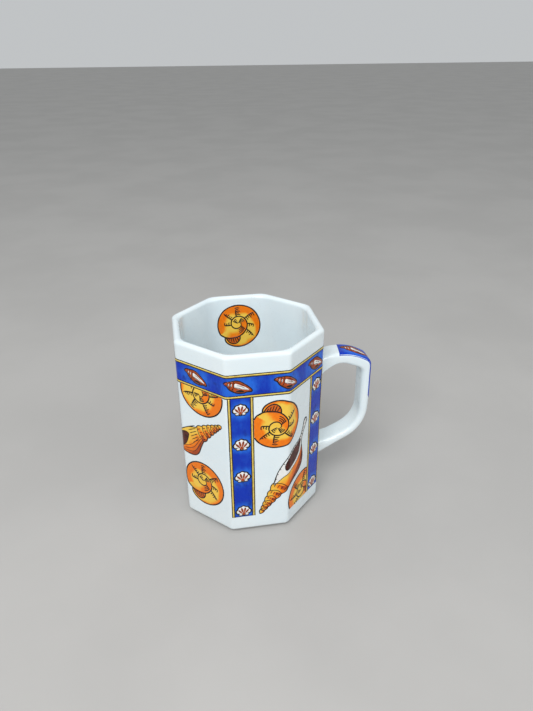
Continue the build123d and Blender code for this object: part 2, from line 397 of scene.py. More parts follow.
def strap_tree():
    """Lays a flat drawing, as (along, across, lift), on the outside of the handle.

    Along is measured on the strap's outer edge, which is drawn in the XZ plane by Path.
    """
    t = new_tree("Drawing on the strap")
    t.interface(
        GEOMETRY_OUT, Geometry=["Drawing"], Object=["Path", "Strap"], Float=["Flat", "Edge Round"],
        Material=["Enamel"],
    )
    place = t.split(t.place())
    curve = t.add("GeometryNodeMeshToCurve", Mesh=t.shape("Path")).outputs[0]
    whole = {"mode": "LENGTH", "use_all_curves": False}
    sample = t.add("GeometryNodeSampleCurve", whole, Curves=curve, Length=place[0])
    ahead = t.split(sample.outputs["Tangent"])
    out = t.combine(t.math("MULTIPLY", ahead[2], -1.0), 0.0, ahead[0])
    bend = t.given["Edge Round"]
    wide = t.math("ABSOLUTE", place[1])
    past = t.math("MAXIMUM", t.math("SUBTRACT", wide, t.given["Flat"]), 0.0)
    angle = t.math("DIVIDE", past, bend)
    flat = t.math("MINIMUM", wide, t.given["Flat"])
    reach = t.math("ADD", flat, t.math("MULTIPLY", bend, t.math("SINE", angle)))
    across = t.math("MULTIPLY", t.math("SIGN", place[1]), reach)
    drop = t.math("MULTIPLY", bend, t.math("SUBTRACT", t.math("COSINE", angle), 1.0))
    fallen = t.vector("MULTIPLY", out, t.combine(drop, drop, drop))
    rough = t.vector("ADD", t.vector("ADD", sample.outputs["Position"], fallen), t.combine(0.0, across, 0.0))
    # The drawing then settles onto the strap itself.
    strap = t.shape("Strap")
    near = t.add("GeometryNodeProximity", {"target_element": "FACES"}, Sample_Position=rough)
    t.link(strap, near.inputs[0])
    outward = t.sampled(
        "GeometryNodeSampleNearestSurface", {"data_type": "FLOAT_VECTOR"},
        t.add("GeometryNodeInputNormal").outputs[0], Mesh=strap, Sample_Position=rough,
    )
    lifted = t.vector("MULTIPLY", outward, t.combine(place[2], place[2], place[2]))
    settled = t.vector("ADD", near.outputs["Position"], lifted)
    moved = t.add("GeometryNodeSetPosition", Geometry=t.given["Drawing"], Position=settled)
    return t.finish(moved.outputs[0], t.given["Enamel"])


def grown(piece, tree, values):
    """Runs a tree on a piece and keeps the result as its plain mesh."""
    modifier = piece.modifiers.new(tree.tree.name, "NODES")
    modifier.node_group = tree.tree
    for name, value in values.items():
        modifier[tree.keys[name]] = value
    evaluated = piece.evaluated_get(bpy.context.evaluated_depsgraph_get())
    mesh = bpy.data.meshes.new_from_object(evaluated)
    piece.modifiers.clear()
    piece.data = mesh
    mesh.name = piece.name
    return piece


def shared_tree(name, maker, *given):
    """A tree that several operators use, made once."""
    if name not in TREES:
        TREES[name] = maker(*given)
    return TREES[name]


TREES = {}


def new_piece(name, points, faces, edges=()):
    """A mesh object at the origin, from points in metres."""
    mesh = bpy.data.meshes.new(name)
    mesh.from_pydata(points, edges, faces)
    mesh.update()
    piece = bpy.data.objects.new(name, mesh)
    bpy.context.scene.collection.objects.link(piece)
    return piece


def settle(piece, slot, *nodes):
    """The last steps for a piece: it rides with the mug and stands for its CAD nodes."""
    if not piece.data.polygons:
        raise RuntimeError(f"{piece.name} has no faces")
    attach(piece, "root")
    if nodes:
        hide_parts(*nodes)
    return piece


# ---------------------------------------------------------------- flat drawing, in millimetres
def smooth_through(points, steps=8, closed=False):
    """A Catmull-Rom curve through the points."""
    count = len(points)
    drawn = []
    spans = count if closed else count - 1
    for i in range(spans):
        if closed:
            a, b, c, d = (points[(i + k) % count] for k in (-1, 0, 1, 2))
        else:
            b, c = points[i], points[i + 1]
            a = points[max(i - 1, 0)]
            d = points[min(i + 2, count - 1)]
        for k in range(steps):
            s = k / steps
            drawn.append(tuple(
                0.5 * (
                    2 * q + (r - p) * s + (2 * p - 5 * q + 4 * r - w) * s**2
                    + (3 * q - p - 3 * r + w) * s**3
                )
                for p, q, r, w in zip(a, b, c, d)
            ))
    if not closed:
        drawn.append(tuple(points[-1]))
    return drawn


def lengths_along(points):
    """How far along the line each of its points is."""
    lengths = [0.0]
    for a, b in zip(points, points[1:]):
        lengths.append(lengths[-1] + hypot(b[0] - a[0], b[1] - a[1]))
    return lengths


def even_steps(points, step):
    """The same line with points at even distances."""
    lengths = lengths_along(points)
    total = lengths[-1]
    count = max(2, int(total / step) + 1)
    drawn = []
    k = 0
    for i in range(count):
        target = total * i / (count - 1)
        while k < len(lengths) - 2 and lengths[k + 1] < target:
            k += 1
        span = max(lengths[k + 1] - lengths[k], 1e-9)
        part = min(max((target - lengths[k]) / span, 0.0), 1.0)
        a, b = points[k], points[k + 1]
        drawn.append((a[0] + (b[0] - a[0]) * part, a[1] + (b[1] - a[1]) * part))
    return drawn


def clipped(outline, window):
    """An outline cut to an upright rectangle (left, right, bottom, top)."""
    left, right, bottom, top = window
    for axis, limit, keep_more in ((0, left, True), (0, right, False), (1, bottom, True), (1, top, False)):
        kept = []
        for i, point in enumerate(outline):
            last = outline[i - 1]
            stays = (point[axis] >= limit) == keep_more or point[axis] == limit
            stayed = (last[axis] >= limit) == keep_more or last[axis] == limit
            if stays != stayed:
                part = (limit - last[axis]) / (point[axis] - last[axis])
                kept.append(tuple(p + (q - p) * part for p, q in zip(last, point)))
            if stays:
                kept.append(point)
        outline = kept
        if len(outline) < 3:
            return []
    return outline


def inside(outline, x, y):
    """Whether a point is inside a closed outline."""
    odd = False
    for (ax, ay), (bx, by) in zip(outline, outline[-1:] + outline[:-1]):
        if (ay > y) != (by > y) and x < (bx - ax) * (y - ay) / (by - ay) + ax:
            odd = not odd
    return odd


UNDER = -0.030  # brings a black ground below the colours that lie on it
RAISED = 0.020  # a motif on the blue stands this much higher


class Enamel:
    """One colour of a drawing: thin closed islands, flat until they are wrapped."""

    def __init__(self, top, depth):
        self.top = top / MM
        self.bottom = -depth / MM
        self.points = []
        self.faces = []
        self.smooth = []
        self.tones = []

    def slab(self, flat, triangles, tones, lift=0.0):
        """Gives a flat patch of triangles a top, a bottom and sides."""
        base = len(self.points)
        count = len(flat)
        self.points += [(x, y, self.top + lift) for x, y in flat]
        self.points += [(x, y, self.bottom) for x, y in flat]
        self.tones += list(tones) * 2
        edges = {}
        for face in triangles:
            self.faces.append(tuple(base + k for k in face))
            self.faces.append(tuple(base + count + k for k in reversed(face)))
            self.smooth += [True, True]
            for a, b in zip(face, face[1:] + face[:1]):
                edges[(a, b)] = True
        for a, b in edges:
            if (b, a) not in edges:
                self.faces.append((base + b, base + a, base + count + a, base + count + b))
                self.smooth.append(False)

    def area(self, outline, tone=None, spacing=0.6, window=None, lift=0.0):
        """A filled outline. Tone gives the shade, 0 to 1, at each point."""
        outline = clipped(outline, window) if window else outline
        if len(outline) < 3:
            return
        outline = even_steps(list(outline) + [outline[0]], spacing)[:-1]
        xs = [x for x, _ in outline]
        ys = [y for _, y in outline]
        flat = [Vector(p) for p in outline]
        step = spacing
        margin = spacing * 0.45
        for j in range(int((max(ys) - min(ys)) / (step * 0.87)) + 1):
            y = min(ys) + (j + 0.5) * step * 0.87
            for i in range(int((max(xs) - min(xs)) / step) + 1):
                x = min(xs) + (i + 0.5 * (j % 2) + 0.25) * step
                corners = ((x - margin, y), (x + margin, y), (x, y - margin), (x, y + margin))
                if all(inside(outline, *corner) for corner in corners):
                    flat.append(Vector((x, y)))
        loop = [(i, (i + 1) % len(outline)) for i in range(len(outline))]
        points, _, triangles, *_ = delaunay_2d_cdt(flat, loop, [], 1, 1e-5)
        facing_up = []
        for face in triangles:
            a, b, c = (points[k] for k in face[:3])
            turn = (b - a).cross(c - a)
            facing_up.append(tuple(face) if turn > 0 else tuple(reversed(face)))
        tones = [tone(p.x, p.y) if tone else 0.5 for p in points]
        self.slab([(p.x, p.y) for p in points], facing_up, tones, lift)

    def line(self, points, width, taper=(1.0, 1.0), window=None, lift=0.0, step=0.5, tone=0.5):
        """A pen stroke. Taper is the width at each end, as a part of the width between."""
        points = even_steps(points, step)
        count = len(points)
        if count < 2:
            return
        left_side = []
        right_side = []
        for i, (x, y) in enumerate(points):
            before = points[max(i - 1, 0)]
            after = points[min(i + 1, count - 1)]
            along = Vector((after[0] - before[0], after[1] - before[1]))
            along.normalize()
            part = i / (count - 1)
            swell = min(1.0, taper[0] + 4.0 * part, taper[1] + 4.0 * (1 - part))
            wobble = 1.0 + 0.16 * noise.noise(Vector((x * 0.7, y * 0.7, 3.1)))
            half = width / 2 * swell * wobble
            left_side.append((x - along.y * half, y + along.x * half))
            right_side.append((x + along.y * half, y - along.x * half))
        run = []
        for i in range(count + 1):
            kept = i < count and (window is None or (
                window[0] <= points[i][0] <= window[1] and window[2] <= points[i][1] <= window[3]
            ))
            if kept:
                run.append(i)
                continue
            if len(run) > 1:
                flat = [right_side[k] for k in run] + [left_side[k] for k in run]
                n = len(run)
                quads = [(k, k + 1, n + k + 1, n + k) for k in range(n - 1)]
                self.slab(flat, quads, [tone] * len(flat), lift)
            run = []

    def take(self, other, along, size):
        """Adds another drawing to this one, moved along and scaled."""
        base = len(self.points)
        self.points += [(along + size * x, size * y, z) for x, y, z in other.points]
        self.faces += [tuple(base + k for k in face) for face in other.faces]
        self.smooth += other.smooth
        self.tones += other.tones

    def piece(self, name):
        """The drawing so far, as a flat object in metres."""
        piece = new_piece(name, [Vector(p) * MM for p in self.points], self.faces)
        piece.data.polygons.foreach_set("use_smooth", self.smooth)
        tone = piece.data.attributes.new("tone", "FLOAT", "POINT")
        tone.data.foreach_set("value", self.tones)
        return piece


# ---------------------------------------------------------------- the shells, drawn
# A moon snail in its own measure. The last whorl's edge and the seam that winds inwards from
# the mouth are each (degrees round from where they part, distance from the middle).
MOON_EDGE = [
    (0, 1.0), (60, 0.96), (126, 0.92), (180, 0.97), (216, 1.04), (260, 1.12), (300, 1.18), (325, 1.14),
    (338, 1.05), (345, 0.92),
]
MOON_SEAM = [
    (0, 1.0), (15, 0.92), (45, 0.73), (90, 0.53), (135, 0.43), (180, 0.385), (240, 0.37), (300, 0.35),
    (360, 0.31), (405, 0.25), (450, 0.19), (500, 0.13), (560, 0.075), (620, 0.03),
]
MOON_MOUTH = (18, 66)  # degrees back from where the last whorl closes
MOON_TICKS = [(22, 0.5), (66, 0.86), (108, 0.6), (170, 0.9), (214, 0.5), (250, 0.8)]
MOON_LADDERS = [(24, 20, 3), (68, 17, 4), (110, 26, 5), (172, 22, 5), (216, 16, 3), (252, 14, 4)]
MOON_INNER_LADDERS = [(60, 40, 3), (150, 44, 3), (255, 44, 3)]


def glide(knots, x):
    """A smooth curve through (x, y) knots."""
    if x <= knots[0][0]:
        return knots[0][1]
    if x >= knots[-1][0]:
        return knots[-1][1]
    k = next(i for i in range(1, len(knots)) if x <= knots[i][0])
    (ax, ay), (bx, by) = knots[k - 1], knots[k]

    def slope(i):
        (px, py), (qx, qy) = knots[max(i - 1, 0)], knots[min(i + 1, len(knots) - 1)]
        return (qy - py) / (qx - px)

    span = bx - ax
    s = (x - ax) / span
    start = slope(k - 1) * span
    end = slope(k) * span
    return (
        ay * (2 * s**3 - 3 * s**2 + 1) + start * (s**3 - 2 * s**2 + s) + by * (3 * s**2 - 2 * s**3)
        + end * (s**3 - s**2)
    )


def soft_step(low, high, x):
    """Rises smoothly from 0 at low to 1 at high."""
    s = min(max((x - low) / (high - low), 0.0), 1.0)
    return s * s * (3 - 2 * s)


class Moon:
    """A round snail shell seen from its spire, in the flat drawing's millimetres."""

    def __init__(self, middle, size, mouth, hand, sunny=60):
        self.sunny = sunny
        self.x, self.y = middle
        self.size = size
        self.hand = hand
        self.parting = mouth + 39 * hand

    def at(self, degrees_round, distance):
        angle = radians(self.parting + self.hand * degrees_round)
        return (
            self.x + self.size * distance * cos(angle),
            self.y + self.size * distance * sin(angle),
        )

    def whorl(self, number, degrees_round, part):
        """A place in a whorl, from its inner seam (0) to its outer edge (1)."""
        inner = glide(MOON_SEAM, 360 * number - degrees_round)
        if number == 1:
            outer = glide(MOON_EDGE, degrees_round)
        else:
            outer = glide(MOON_SEAM, 360 * (number - 1) - degrees_round)
        return self.at(degrees_round, inner + (outer - inner) * part)

    def tone(self, x, y):
        """The shade of the colour at a point: yellow by the inner seam, orange by the edge."""
        dx, dy = x - self.x, y - self.y
        distance = hypot(dx, dy) / self.size
        turned = (self.hand * (degrees(atan2(dy, dx)) - self.parting)) % 360
        cloud = noise.noise(Vector((x * 0.23, y * 0.23, self.size)))
        grain = noise.noise(Vector((x * 1.1, y * 1.1, self.size + 5)))
        first = glide(MOON_SEAM, 360 - turned)
        second = glide(MOON_SEAM, 720 - turned)
        if distance > first:
            edge = glide(MOON_EDGE, turned)
            part = (distance - first) / max(edge - first, 0.01)
            sun = cos(atan2(dy, dx) - radians(self.sunny))
            start = 0.30 + 0.36 * max(sun, 0.0) - 0.20 * max(-sun, 0.0)
            shade = 0.14 + 0.48 * soft_step(start, start + 0.36, part + 0.2 * cloud)
        elif distance > second:
            part = (distance - second) / max(first - second, 0.01)
            lit = 0.5 + 0.5 * cos(radians(turned - 250))
            shade = 0.14 + 0.46 * soft_step(0.35, 0.9, lit + 0.25 * (part - 0.5) + 0.3 * cloud)
        else:
            shade = 0.2
        return shade + 0.06 * grain

    def draw(self, pens, window=None):
        edge = [self.at(a, glide(MOON_EDGE, a)) for a in range(0, 346, 3)]
        seam = [self.at(-a, glide(MOON_SEAM, a)) for a in range(0, 621, 5)]
        pens["shell"].area(edge + seam[3:0:-1], self.tone, 0.5, window)

        def mouth(s):
            """Degrees round, across the mouth from one side (0) to the other (1)."""
            return 360 - (MOON_MOUTH[0] + (MOON_MOUTH[1] - MOON_MOUTH[0]) * s)

        arch = [self.whorl(1, mouth(k / 18), 0.74 * sin(pi * k / 18) ** 0.55) for k in range(19)]
        pens["shell"].area(arch, lambda x, y: 0.84, 0.5, window, 0.014)
        ink = pens["ink"]
        ink.line(edge + edge[:1], 0.68, window=window)
        ink.line(seam, 0.68, (1.0, 0.5), window)
        ink.line(arch, 0.62, window=window, lift=0.004)
        for k in range(5):
            s = 0.2 + 0.14 * k
            inner_end = self.whorl(1, mouth(s) + 2, 0.06)
            outer_end = self.whorl(1, mouth(s) - 5, 0.58 * sin(pi * s) ** 0.6)
            ink.line([inner_end, outer_end], 0.48, (0.9, 0.4), window, 0.008, 0.3)
        for start, reach in MOON_TICKS:
            tick = [self.whorl(1, start + 5 * (s / 6) ** 2, reach * s / 6) for s in range(7)]
            ink.line(tick, 0.66, (1.0, 0.3), window, 0.004, 0.35)
        for start, width, rungs in MOON_LADDERS:
            for k in range(rungs):
                part = 0.14 + 0.15 * k
                reach = width * (1.0 - 0.09 * k - 0.25 * (k % 2))
                rung = [
                    self.whorl(1, start + reach * s / 4, part + 0.035 * sin(pi * s / 4)) for s in range(5)
                ]
                ink.line(rung, 0.54, (0.9, 0.15), window, 0.008, 0.3)
        for start, width, rungs in MOON_INNER_LADDERS:
            for k in range(rungs):
                part = 0.2 + 0.22 * k
                rung = [
                    self.whorl(2, start + width * s / 4, part + 0.05 * sin(pi * s / 4)) for s in range(5)
                ]
                ink.line(rung, 0.5, (0.9, 0.5), window, 0.008, 0.25)
            ink.line([self.whorl(2, start, s / 5) for s in range(5)], 0.56, (1.0, 0.4), window, 0.004, 0.3)


# A long shell in its own measure, from its spire (0) to the tip of its canal. Each edge is
# (distance along, distance out), left and right of the line between the tips.
SPINDLE_LENGTH = 56.4
SPINDLE_LEFT = [
    (0, 0.5), (4, 1.1), (10, 2.1), (19, 3.2), (26, 5.0), (36, 4.8), (41, 2.7), (45.5, -0.2), (50, -0.1),
    (55.4, 1.3),
]
SPINDLE_RIGHT = [
    (0, 0.5), (4, 1.2), (10, 2.3), (15, 3.4), (19.6, 4.8), (24.3, 7.3), (29, 9.9), (33, 10.3), (37, 8.6),
    (40.5, 5.8), (44, 3.0), (47.5, 1.9), (55.6, 1.5),
]
SPIRE_END = 19.4
SPINDLE_WHORLS = [2.6, 5.0, 7.8, 11.0, 14.8, SPIRE_END]
SPINDLE_SEAMS = [0.4] + SPINDLE_WHORLS
SPINDLE_LIP = [
    (18.5, -3.1), (26, -5.0), (36, -4.8), (41, -2.7), (45.5, 0.2), (50, 0.1), (55.2, -1.1), (56.2, 0.2),
    (54.6, 1.2), (49, 1.6), (45.6, 2.2), (42.5, 3.9), (38, 5.2), (33, 4.2), (28.6, 1.3), (24, -0.9),
    (20, -2.0),
]
SPINDLE_MOUTH = [
    (28.4, -1.6), (30.6, -3.6), (35, -3.9), (39.5, -2.5), (43, -0.2), (45.3, 1.1), (42.2, 2.4), (38.2, 3.4),
    (34, 2.4), (30.6, 0.4),
]


class Spindle:
    """A long shell seen from its side, between two tips, in the flat drawing's millimetres."""

    def __init__(self, spire, canal, fatness=1.0, hand=1):
        self.spire = Vector(spire)
        reach = Vector(canal) - self.spire
        self.scale = reach.length / SPINDLE_LENGTH
        self.axis = reach.normalized()
        self.right = Vector((self.axis.y, -self.axis.x)) * hand * fatness
        self.hand = hand

    def at(self, along, across):
        place = self.spire + (self.axis * along + self.right * across) * self.scale
        return (place.x, place.y)

    def bumps(self, along):
        """Each whorl of the spire bulges a little between its seams."""
        for a, b in zip(SPINDLE_SEAMS, SPINDLE_SEAMS[1:]):
            if a <= along < b:
                return 0.2 + 0.55 * sin(pi * (along - a) / (b - a)) * (0.5 + along / SPIRE_END)
        return 0.0

    def edge(self, knots, along):
        return glide(knots, along) + self.bumps(along)

    def tone(self, x, y):
        """Yellow on the left of each whorl, orange to rust on the right."""
        out = Vector((x, y)) - self.spire
        along = out.dot(self.axis) / self.scale
        fat = self.right.length
        across = out.dot(self.right) / (fat * fat) / self.scale
        left = -self.edge(SPINDLE_LEFT, along)
        right = self.edge(SPINDLE_RIGHT, along)
        part = (across - left) / max(right - left, 0.3)
        cloud = noise.noise(Vector((x * 0.35, y * 0.35, 9.0)))
        stripe = noise.noise(Vector((along * 0.25, part * 5.0, 2.0)))
        shade = 0.14 + 0.62 * soft_step(0.25, 0.85, part + 0.2 * cloud)
        for a, b in zip(SPINDLE_SEAMS, SPINDLE_SEAMS[1:]):
            if a <= along < b:
                lit = 0.6 * part + 0.4 * (along - a) / (b - a) + 0.2 * cloud
                shade = 0.22 + 0.5 * soft_step(0.2, 0.8, lit)
        return shade + 0.10 * stripe

    def draw(self, pens, window=None, lip=True):
        stations = [0.1 + 0.5 * k for k in range(111)]
        left = [self.at(s, -self.edge(SPINDLE_LEFT, s)) for s in stations]
        right = [self.at(s, self.edge(SPINDLE_RIGHT, s)) for s in stations]
        outline = [self.at(-0.3, 0.0)] + right + [self.at(56.2, 0.3)] + left[::-1]
        if self.hand < 0:
            outline.reverse()
        pens["shell"].area(outline, self.tone, 0.5, window)
        ink = pens["ink"]
        ink.line(outline + outline[:1], 0.46, window=window)
        for seam in SPINDLE_WHORLS:
            reach_left = self.edge(SPINDLE_LEFT, seam)
            reach_right = self.edge(SPINDLE_RIGHT, seam)
            arc = []
            for k in range(9):
                part = k / 8
                across = -reach_left + (reach_left + reach_right) * part
                arc.append(self.at(seam + 1.1 * sin(pi * part) + 0.9 * (part - 0.5), across))
            ink.line(arc, 0.4, (0.9, 0.9), window, 0.004, 0.35)
        self.hatch_spire(pens, window)
        mouth = smooth_through(SPINDLE_MOUTH, 5, closed=True)
        mouth = [self.at(*p) for p in mouth]
        if lip:
            rim = [self.at(*p) for p in smooth_through(SPINDLE_LIP, 5, closed=True)]
            pens["white"].area(rim, None, 0.5, window, 0.02)
            ink.line(rim + rim[:1], 0.34, window=window, lift=0.012)
            self.dashes(ink, window)
            shade_from, shade_to, depth = 17, 41, 0.34
        else:
            shade_from, shade_to, depth = 12, 40, 0.26
        shadow = []
        back = []
        for k in range(25):
            s = shade_from + (shade_to - shade_from) * k / 24
            outer = self.edge(SPINDLE_RIGHT, s) - 0.25
            shadow.append(self.at(s, outer))
            back.append(self.at(s, outer * (1 - depth * sin(pi * k / 24))))
        pens["rust"].area(shadow + back[::-1], None, 0.5, window, 0.012)
        pens["brown"].area(mouth, None, 0.5, window, 0.032)
        ink.line(mouth + mouth[:1], 0.36, window=window, lift=0.016)
        for offset in (0.80, 0.62, 0.46):
            curve = []
            for k in range(13):
                s = 18 + 24 * (1 - 0.25 * (1 - offset)) * k / 12
                across = self.edge(SPINDLE_RIGHT, s) * offset + (1 - offset) * (5.4 if lip else -1)
                curve.append(self.at(s, across))
            ink.line(curve, 0.24, (0.2, 0.2), window, 0.01, 0.5)
        if not lip:
            for k in range(6):
                across = -4.4 + 1.5 * k
                streak = [self.at(20 + 1.1 * j + 0.5 * k, across * (1 + 0.03 * j)) for j in range(7)]
                ink.line(streak, 0.36, (0.3, 0.15), window, 0.01, 0.5)

    def hatch_spire(self, pens, window):
        """A dark crescent and short strokes at the lower side of each whorl."""
        for a, b in zip(SPINDLE_SEAMS, SPINDLE_SEAMS[1:]):
            wide = self.edge(SPINDLE_RIGHT, (a + b) / 2)
            deep = (b - a) * 0.42
            crescent = []
            for k in range(9):
                across = wide * (0.15 + 0.8 * k / 8)
                crescent.append(self.at(b + 0.5 * k / 8, across))
            for k in range(9):
                across = wide * (0.95 - 0.8 * k / 8)
                crescent.append(self.at(b - deep * sin(pi * (k + 0.5) / 9.5), across))
            if self.hand < 0:
                crescent.reverse()
            pens["rust"].area(crescent, None, 0.4, window, 0.01)
            for k in range(4):
                across = wide * (-0.45 + 0.42 * k)
                stroke = [self.at(b - 0.1, across), self.at(b - (b - a) * 0.5, across * 0.94)]
                pens["ink"].line(stroke, 0.34, (0.9, 0.2), window, 0.006, 0.3)

    def dashes(self, ink, window):
        """Short marks along the pale lip."""
        outer = smooth_through(SPINDLE_LIP[:8], 6)
        for k in range(3, len(outer) - 3, 2):
            (ax, ay), (bx, by) = outer[k], outer[k + 1]
            length = hypot(bx - ax, by - ay)
            nx, ny = -(by - ay) / length, (bx - ax) / length
            start = self.at(ax + 0.15 * nx, ay + 0.15 * ny)
            end = self.at(ax + 0.85 * nx, ay + 0.85 * ny)
            ink.line([start, end], 0.36, (0.8, 0.6), window, 0.018, 0.25)


def draw_scallop(pens):
    """A fan shell about 7.6 mm wide, its hinge downwards."""
    hinge = (0.0, -2.5)
    ribs = 5
    first, last = 18, 162
    fan = [(-1.0, -2.2)]
    for k in range(ribs * 8 + 1):
        angle = last + (first - last) * k / (ribs * 8)
        scallop = abs(sin(pi * k / 8))
        reach = (4.15 + 0.95 * sin(radians(angle)) ** 2) * (0.93 + 0.11 * scallop)
        across = 0.88 * reach * cos(radians(angle))
        fan.append((hinge[0] + across, hinge[1] + reach * sin(radians(angle))))
    fan += [(1.0, -2.2), (0.0, -2.9)]
    fan.reverse()
    for side in (1, -1):
        ear = [(side * 0.7, -2.9), (side * 2.1, -2.85), (side * 2.5, -2.2), (side * 1.3, -1.9)]
        ear = ear if side > 0 else ear[::-1]
        pens["ink"].area(spread(ear, 0.6), None, 0.6, lift=UNDER)
        pens["white"].area(ear, None, 0.6)
    pens["ink"].area(spread(fan, 0.72), None, 0.7, lift=UNDER)
    pens["white"].area(fan, None, 0.6, lift=0.004)
    for k in range(1, ribs):
        angle = radians(last + (first - last) * k / ribs)
        reach = 3.9 + 0.7 * sin(angle) ** 2
        tip = (hinge[0] + 0.88 * reach * cos(angle), hinge[1] + reach * sin(angle))
        start = (hinge[0] + 0.5 * cos(angle), hinge[1] + 0.5 * sin(angle))
        across = (-sin(angle) * 0.56, cos(angle) * 0.56)
        middle = (start[0] * 0.45 + tip[0] * 0.55, start[1] * 0.45 + tip[1] * 0.55)

        def beside(place, part):
            return (place[0] + across[0] * part, place[1] + across[1] * part)

        wedge = [start, beside(middle, -1), beside(tip, -0.7), tip, beside(tip, 0.7), beside(middle, 1)]
        pens["rust"].area(wedge, None, 0.6, lift=0.01)
        pens["ink"].line([middle, tip], 0.26, (0.3, 1.0), lift=0.004, step=0.3)
    knuckle = [(-0.9, -2.3), (0.0, -2.8), (0.9, -2.3), (0.5, -1.2), (0.0, -0.9), (-0.5, -1.2)]
    pens["rust"].area(knuckle, None, 0.5, lift=0.012)


def spread(outline, distance):
    """The outline moved outwards, for the black edge round a motif."""
    grown_outline = []
    count = len(outline)
    for i, (x, y) in enumerate(outline):
        ax, ay = outline[i - 1]
        bx, by = outline[(i + 1) % count]
        length = max(hypot(bx - ax, by - ay), 1e-6)
        grown_outline.append((x + distance * (by - ay) / length, y - distance * (bx - ax) / length))
    return grown_outline


BAND_SHELL = [
    (-6.5, 0.9), (-4.9, 0.2), (-3.8, -1.1), (-2.0, -2.2), (0.6, -3.0), (3.0, -2.7), (4.6, -1.9), (6.5, -1.6),
    (6.2, -0.7), (4.4, 0.7), (2.6, 1.7), (0.6, 2.7), (-1.6, 2.9), (-3.6, 2.3), (-5.2, 2.0),
]
BAND_SHELL_BELLY = [
    (-1.3, -0.3), (0.4, -0.9), (2.6, -1.0), (4.6, -1.1), (5.5, -0.9), (3.6, 0.2), (1.6, 0.9), (-0.2, 1.5),
    (-1.4, 1.7), (-1.8, 0.7),
]
BAND_SHELL_MOUTH = [(-0.6, -2.2), (1.4, -2.5), (3.4, -2.2), (2.4, -1.5), (0.6, -1.5)]
BAND_SHELL_FOLDS = [((-1.2, 2.4), (3.2, 0.7)), ((-0.6, 0.9), (3.4, -0.3)), ((-1.4, -0.4), (2.2, -1.0))]


def draw_band_shell(pens):
    """A small whelk about 13 mm long, its spire to the left."""
    outline = smooth_through(BAND_SHELL, 4, closed=True)
    pens["ink"].area(spread(outline, 0.55), None, 0.7, lift=UNDER)
    pens["rust"].area(outline, None, 0.6, lift=0.002)
    belly = smooth_through(BAND_SHELL_BELLY, 4, closed=True)
    pens["white"].area(belly, None, 0.6, lift=0.006)
    for x, y, w, h in ((-4.4, 0.9, 0.42, 0.75), (-3.1, 0.7, 0.4, 1.0)):
        glint = [(x + w * cos(a), y + h * sin(a)) for a in [2 * pi * k / 12 for k in range(12)]]
        pens["white"].area(glint, None, 0.6, lift=0.006)
    mouth = smooth_through(BAND_SHELL_MOUTH, 4, closed=True)
    pens["ink"].area(mouth, None, 0.6, lift=0.004)
    for x, top, bottom in ((-5.0, 1.9, 0.3), (-3.7, 2.3, -0.9), (-2.3, 2.7, -1.9)):
        arc = [(x + 0.5 * sin(pi * k / 6), bottom + (top - bottom) * k / 6) for k in range(7)]
        pens["ink"].line(arc, 0.34, (0.9, 0.9), lift=0.004, step=0.4)
    for start, end in BAND_SHELL_FOLDS:
        middle = ((start[0] + end[0]) / 2, (start[1] + end[1]) / 2 + 0.3)
        pens["ink"].line([start, middle, end], 0.26, (0.3, 0.2), lift=0.004, step=0.4)


# ---------------------------------------------------------------- finishes
def finish_nodes(name):
    """A new material and its tree, with one glossy shader wired to the output."""
    material = bpy.data.materials.new(name)
    material.use_nodes = True
    material.node_tree.nodes.clear()
    t = Tree(material.node_tree)
    shader = t.add("ShaderNodeBsdfPrincipled")
    output = t.add("ShaderNodeOutputMaterial")
    t.link(shader.outputs[0], output.inputs["Surface"])
    return material, t, shader.inputs


def object_noise(t, scale, detail=3.0, roughness=0.5, stretch=(1.0, 1.0, 1.0)):
    """Cloudy noise on the object's own coordinates."""
    place = t.add("ShaderNodeTexCoord").outputs["Object"]
    mapping = t.add("ShaderNodeMapping")
    t.link(place, mapping.inputs["Vector"])
    mapping.inputs["Scale"].default_value = stretch
    cloud = t.add("ShaderNodeTexNoise", Scale=scale, Detail=detail, Roughness=roughness)
    t.link(mapping.outputs[0], cloud.inputs["Vector"])
    return cloud.outputs["Fac"]


def blended(t, factor, first, second):
    """A mix of two colours."""
    mix = t.add("ShaderNodeMix", {"data_type": "RGBA"})
    t.link(factor, mix.inputs[0])
    for socket, colour in ((mix.inputs[6], first), (mix.inputs[7], second)):
        t.link(colour if hasattr(colour, "is_output") else (*colour, 1.0), socket)
    return mix.outputs[2]


def ranged(t, value, low, high, to_low=0.0, to_high=1.0):
    """Maps a value's range to another, held at its ends."""
    node = t.add("ShaderNodeMapRange", {"interpolation_type": "SMOOTHSTEP"})
    for source, socket in zip((value, low, high, to_low, to_high), node.inputs):
        t.link(source, socket)
    return node.outputs[0]


def relief(t, inputs, *layers):
    """Fine unevenness of the surface: each layer is (height, strength, distance)."""
    normal = None
    for height, strength, distance in layers:
        bump = t.add("ShaderNodeBump", Strength=strength, Distance=distance)
        t.link(height, bump.inputs["Height"])
        if normal:
            t.link(normal, bump.inputs["Normal"])
        normal = bump.outputs[0]
    t.link(normal, inputs["Normal"])


def glassy(inputs, coat_roughness=0.04, weight=0.38):
    """The clear glossy layer of a glaze over the colour."""
    inputs["Coat Weight"].default_value = weight
    inputs["Coat Roughness"].default_value = coat_roughness
    inputs["Coat IOR"].default_value = 1.5
    inputs["Specular IOR Level"].default_value = 0.1


